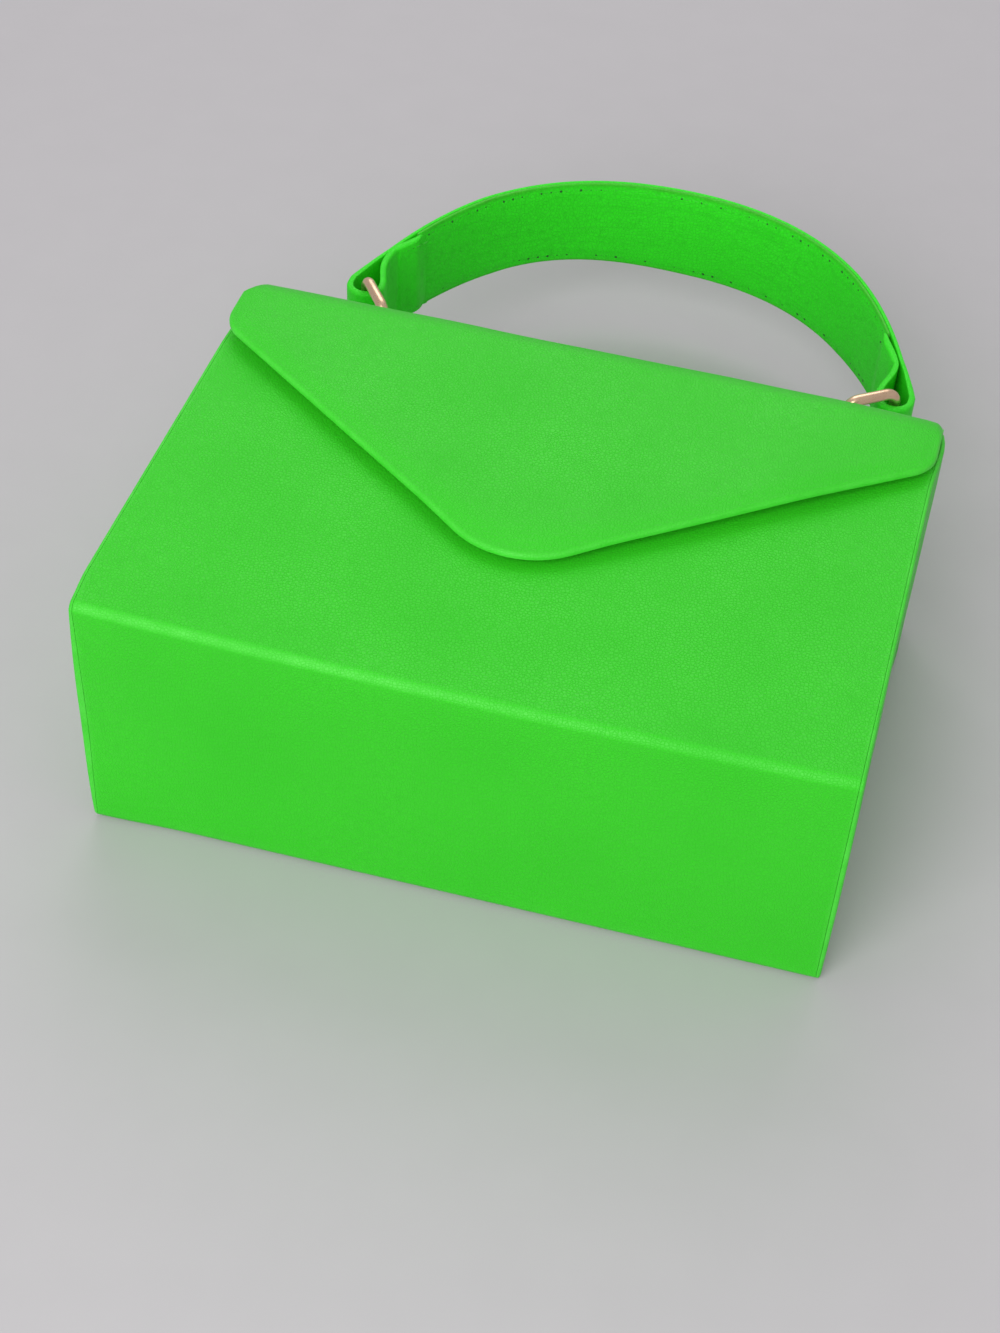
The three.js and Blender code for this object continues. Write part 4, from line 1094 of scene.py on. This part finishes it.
seam = {"Threads": (0.7, 0.12), "Holes": (0.5, 0.5), "seed": 7}  # height as a share of the width, and unevenness


def makeStitchTree():
    tree, given, out = geometryTree("stitchRow", [
        ("Pitch", "Float"), ("Shift", "Float"), ("Length", "Float"), ("Width", "Float"), ("Height", "Float"),
        ("Unevenness", "Float"), ("Seed", "Int"), ("Material", "Material")])
    guide = output(tree, "GeometryNodeMeshToCurve", {"Mesh": given["Geometry"]})
    spaced = output(tree, "GeometryNodeResampleCurve", {"Curve": guide, "Length": given["Pitch"]}, mode="LENGTH")
    up = output(tree, "GeometryNodeInputNamedAttribute", {"Name": "up"}, data_type="FLOAT_VECTOR")
    along = output(tree, "GeometryNodeInputTangent")
    lying = output(tree, "FunctionNodeAlignRotationToVector", {"Vector": along}, axis="X")
    turned = output(tree, "FunctionNodeAlignRotationToVector", {"Rotation": lying, "Vector": up}, axis="Z",
                    pivot_axis="X")
    bead = output(tree, "GeometryNodeMeshUVSphere", {"Segments": 8, "Rings": 5, "Radius": 0.5})
    smooth = output(tree, "GeometryNodeSetShadeSmooth", {"Geometry": bead})
    size = output(tree, "ShaderNodeCombineXYZ", {0: given["Length"], 1: given["Width"], 2: given["Height"]})
    least, most = (mathNode(tree, kind, 1.0, given["Unevenness"]) for kind in ("SUBTRACT", "ADD"))
    vary = addNode(tree, "FunctionNodeRandomValue", {2: least, 3: most, "Seed": given["Seed"]}, data_type="FLOAT")
    scale = output(tree, "ShaderNodeVectorMath", {0: size, "Scale": vary.outputs[1]}, operation="SCALE")
    placed = output(tree, "GeometryNodeInstanceOnPoints", {
        "Points": spaced, "Instance": smooth, "Rotation": turned, "Scale": scale})
    step = output(tree, "ShaderNodeCombineXYZ", {0: mathNode(tree, "DIVIDE", given["Shift"], given["Length"])})
    moved = output(tree, "GeometryNodeTranslateInstances", {
        "Instances": placed, "Translation": step, "Local Space": True})
    finishTree(tree, moved, given["Material"], out)
    return tree


def guideMesh(rows):  # rows of points and the way that their stitches face
    mesh = bpy.data.meshes.new("stitchGuide")
    points = np.concatenate([row[0] for row in rows]) * mm
    ups = np.concatenate([np.broadcast_to(row[1], row[0].shape) for row in rows])
    edges, first = [], 0
    for line, _ in rows:
        edges += [(first + k, first + k + 1) for k in range(len(line) - 1)]
        first += len(line)
    mesh.from_pydata(points.tolist(), edges, [])
    layer = mesh.attributes.new("up", "FLOAT_VECTOR", "POINT")
    layer.data.foreach_set("vector", ups.astype(np.float32).ravel())
    return mesh


def sew(name, rows, body, slot, sizes, thread, hole):
    pieces = []
    shapes = (("Threads", sizes["stitch"], sizes["thread"], sizes["pitch"] / 2, thread),
              ("Holes", sizes["hole"], sizes["hole"], 0.0, hole))
    for part, long, wide, shift, material in shapes:
        high, uneven = seam[part]
        values = {"Pitch": sizes["pitch"] * mm, "Shift": shift * mm, "Length": long * mm, "Width": wide * mm,
                  "Height": wide * high * mm, "Unevenness": uneven, "Seed": seam["seed"], "Material": material}
        piece = pieceFromNodes(name + part, stitchTree, values, guideMesh(rows))
        pieces.append(dress(piece, body, slot))
    return pieces


def handleRow(line, across, facing):  # a row on the strap, at a distance across it
    normals = leftNormals(line) * facing
    up = normals[:, :1] * handleAlong + normals[:, 1:] * handleUp
    return handlePlace(line[:, 0], line[:, 1], across), np.concatenate([up, 0 * up[:, :1]], 1)


def handleSeams():
    rows = []
    inset = handle["stitchInset"]
    outside = wholeArch(handle["seamFrom"], handle["pinch"])
    inside = wholeArch(handle["turnEnd"] + handle["insideSeam"], liningDepth + handle["lining"] - handle["pinch"])
    lift = handle["puff"] - handle["pinch"]
    first, last = handle["endSeam"]
    left, right = (turnedLine(turn[0] + first, handle["turnEnd"] - last, *turn[:2], lift, steps=12)
                   for turn in (handle["leftTurn"], handle["rightTurn"]))
    for line, facing in ((outside, 1), (inside, -1), (left, -1), (mirrorLine(right), -1)):
        low, high = strapEdges(line)
        rows += [handleRow(line, low + inset, facing), handleRow(line, high - inset, facing)]
    return rows[:4], rows[4:]


def tabSeams(name):
    pivot = jointPlace(f"{name}_ring_swing")
    leg = tab["legGap"] / 2 + tab["sheet"]
    reach = tab["width"] / 2 - tab["stitchInset"]
    rows = []
    for side in (-1, 1):
        x = pivot[0] + side * leg
        corners = [(-reach, -tab["seamEnd"]), (-reach, -tab["seamDown"]), (reach, -tab["seamDown"]),
                   (reach, -tab["seamEnd"])]
        line = splitLong(np.array([(x, pivot[1] + y, pivot[2] + z) for z, y in corners]), step=1.0)
        rows.append((line, (side, 0, 0)))
    return rows


def pocketSeams():
    low, high = boxOf("slip_pocket")
    inset = pocket["stitchInset"]
    corner = pocket["corner"] - inset
    half = high[0] - inset
    line = filletPath([(-half, high[1]), (-half, low[1] + inset, corner), (half, low[1] + inset, corner),
                       (half, high[1])], step=1.0, arcSteps=8)
    hemLow, hemHigh = boxOf("pocket_hem")
    hemX = np.linspace(-half, half, pocket["hemPoints"])
    hemZ = hemHigh[2] + pocketGape(hemX, high[1], low, high)
    sides = np.stack([line[:, 0], line[:, 1], high[2] + pocketGape(line[:, 0], line[:, 1], low, high)], 1)
    hem = np.stack([hemX, hemLow[1] + pocket["hemSeam"] + 0 * hemX, hemZ], 1)
    return [(sides, (0, 0, 1)), (hem, (0, 0, 1))]


stitchTree = makeStitchTree()
longSeams, endSeams = handleSeams()
sew("handle", longSeams, "handle", "green_leather", handle, greenThread, stitchHoleShade)
sew("handleEnd", endSeams, "handle", "green_leather", {**handle, "hole": handle["endHole"]}, greenThread, stitchHoleShade)
sew("tabs", tabSeams("left") + tabSeams("right"), "lid", "green_leather",
    {**handle, "stitch": tab["stitch"]}, greenThread, stitchHoleShade)
pocketThreads = sew("pocket", pocketSeams(), "body", "lining_cloth", pocket, darkThread, darkThread)
print("stitches ready")


# The snap, with softened edges, and the boards behind the skins

snap = {"bevel": 0.14, "steps": 3, "flat": 1.0, "sharp": 25.0, "shade": 35.0}  # the last three in degrees


def softenNode(name, node, body, slot, material):
    mesh = frame["nodes"][node].data.copy()
    mesh.name = name
    mesh.materials.clear()
    work = bmesh.new()
    work.from_mesh(mesh)
    bmesh.ops.remove_doubles(work, verts=work.verts, dist=1e-6)
    bmesh.ops.dissolve_limit(work, angle_limit=math.radians(snap["flat"]), verts=work.verts, edges=work.edges)
    limit = math.radians(snap["sharp"])
    corners = [e for e in work.edges if len(e.link_faces) == 2 and e.calc_face_angle() > limit]
    bmesh.ops.bevel(work, geom=corners, offset=snap["bevel"] * mm, segments=snap["steps"], profile=0.5,
                    affect="EDGES", clamp_overlap=True)
    bmesh.ops.triangulate(work, faces=[f for f in work.faces if len(f.verts) > 4])
    work.to_mesh(mesh)
    work.free()
    mesh.shade_smooth()
    mesh.set_sharp_from_angle(angle=math.radians(snap["shade"]))
    dress(newPiece(name, mesh, material), body, slot, node)


softenNode("snapSocket", "snap_socket", "body", "gold_metal", roseGold)
softenNode("snapMagnet", "snap_magnet", "body", "magnet", magnetIron)
softenNode("snapStud", "snap_stud", "flap", "gold_metal", roseGold)
hidden = {"board": stiffBoard, "gold_metal": roseGold}
for part in frame["record"]["subparts"]:
    node = frame["nodes"][part["node"]]
    if not node.hide_render:
        for slot in node.material_slots:
            slot.material = hidden[part["material_slot"]]
print("snap ready")


# Floor, light and camera

stage = {"floor": (0.5, 0.48, 0.5, 1), "fleck": 0.96, "half": 3.0, "drop": 0.15, "world": 0.5,
         "aim": (0, 0.02, 0.05), "clip": (0.01, 20),  # these and the half in metres
         "view": (97.92, -431.55, 466.77), "turn": (42.172, -2.684, 15.003),  # the turn in degrees
         "lens": 60.755, "shift": (-0.0253, 0.0726)}
lamps = (  # name, direction from the bag, distance and size in metres, power in watts
    ("front", (-0.12, -0.8, 0.58), 1.4, 1.2, 16.0),
    ("behind", (-0.155, 0.665, 0.731), 1.4, 1.1, 5.6),
)


def makeStage():
    material, tree, surface, place = startMaterial("paleFloor")
    speck = noise(tree, place, scale=60.0, detail=4.0)
    shade = tuple(stage["fleck"] * c for c in stage["floor"][:3]) + (1,)
    fill(tree, surface.inputs, {"Base Color": mixColour(tree, speck, stage["floor"], shade), "Roughness": 0.85})
    mesh = bpy.data.meshes.new("floor")
    half, drop = stage["half"], -stage["drop"] * mm
    corners = [(-half, -half, drop), (half, -half, drop), (half, half, drop), (-half, half, drop)]
    mesh.from_pydata(corners, [], [(0, 1, 2, 3)])
    newPiece("floor", mesh, material)


def makeLight():
    world = bpy.data.worlds.new("softLight")
    world.use_nodes = True
    back = next(n for n in world.node_tree.nodes if n.type == "BACKGROUND")
    fill(world.node_tree, back.inputs, {"Color": (1, 1, 1, 1), "Strength": stage["world"]})
    bpy.context.scene.world = world
    aim = Vector(stage["aim"])
    for name, direction, distance, size, power in lamps:
        data = bpy.data.lights.new(name, "AREA")
        data.shape, data.size, data.energy = "DISK", size, power
        lamp = bpy.data.objects.new(name, data)
        lamp.location = aim + Vector(direction).normalized() * distance
        lamp.rotation_euler = (aim - lamp.location).to_track_quat("-Z", "Y").to_euler()
        bpy.context.scene.collection.objects.link(lamp)


def makeCamera():
    data = bpy.data.cameras.new("camera")
    data.lens = stage["lens"]
    data.clip_start, data.clip_end = stage["clip"]
    data.shift_x, data.shift_y = stage["shift"]
    camera = bpy.data.objects.new("camera", data)
    camera.location = Vector(stage["view"]) * mm
    camera.rotation_euler = Euler([math.radians(a) for a in stage["turn"]])
    bpy.context.scene.collection.objects.link(camera)
    bpy.context.scene.camera = camera


makeStage()
makeLight()
makeCamera()
bpy.context.scene.view_settings.view_transform = "Standard"
print("stage ready")
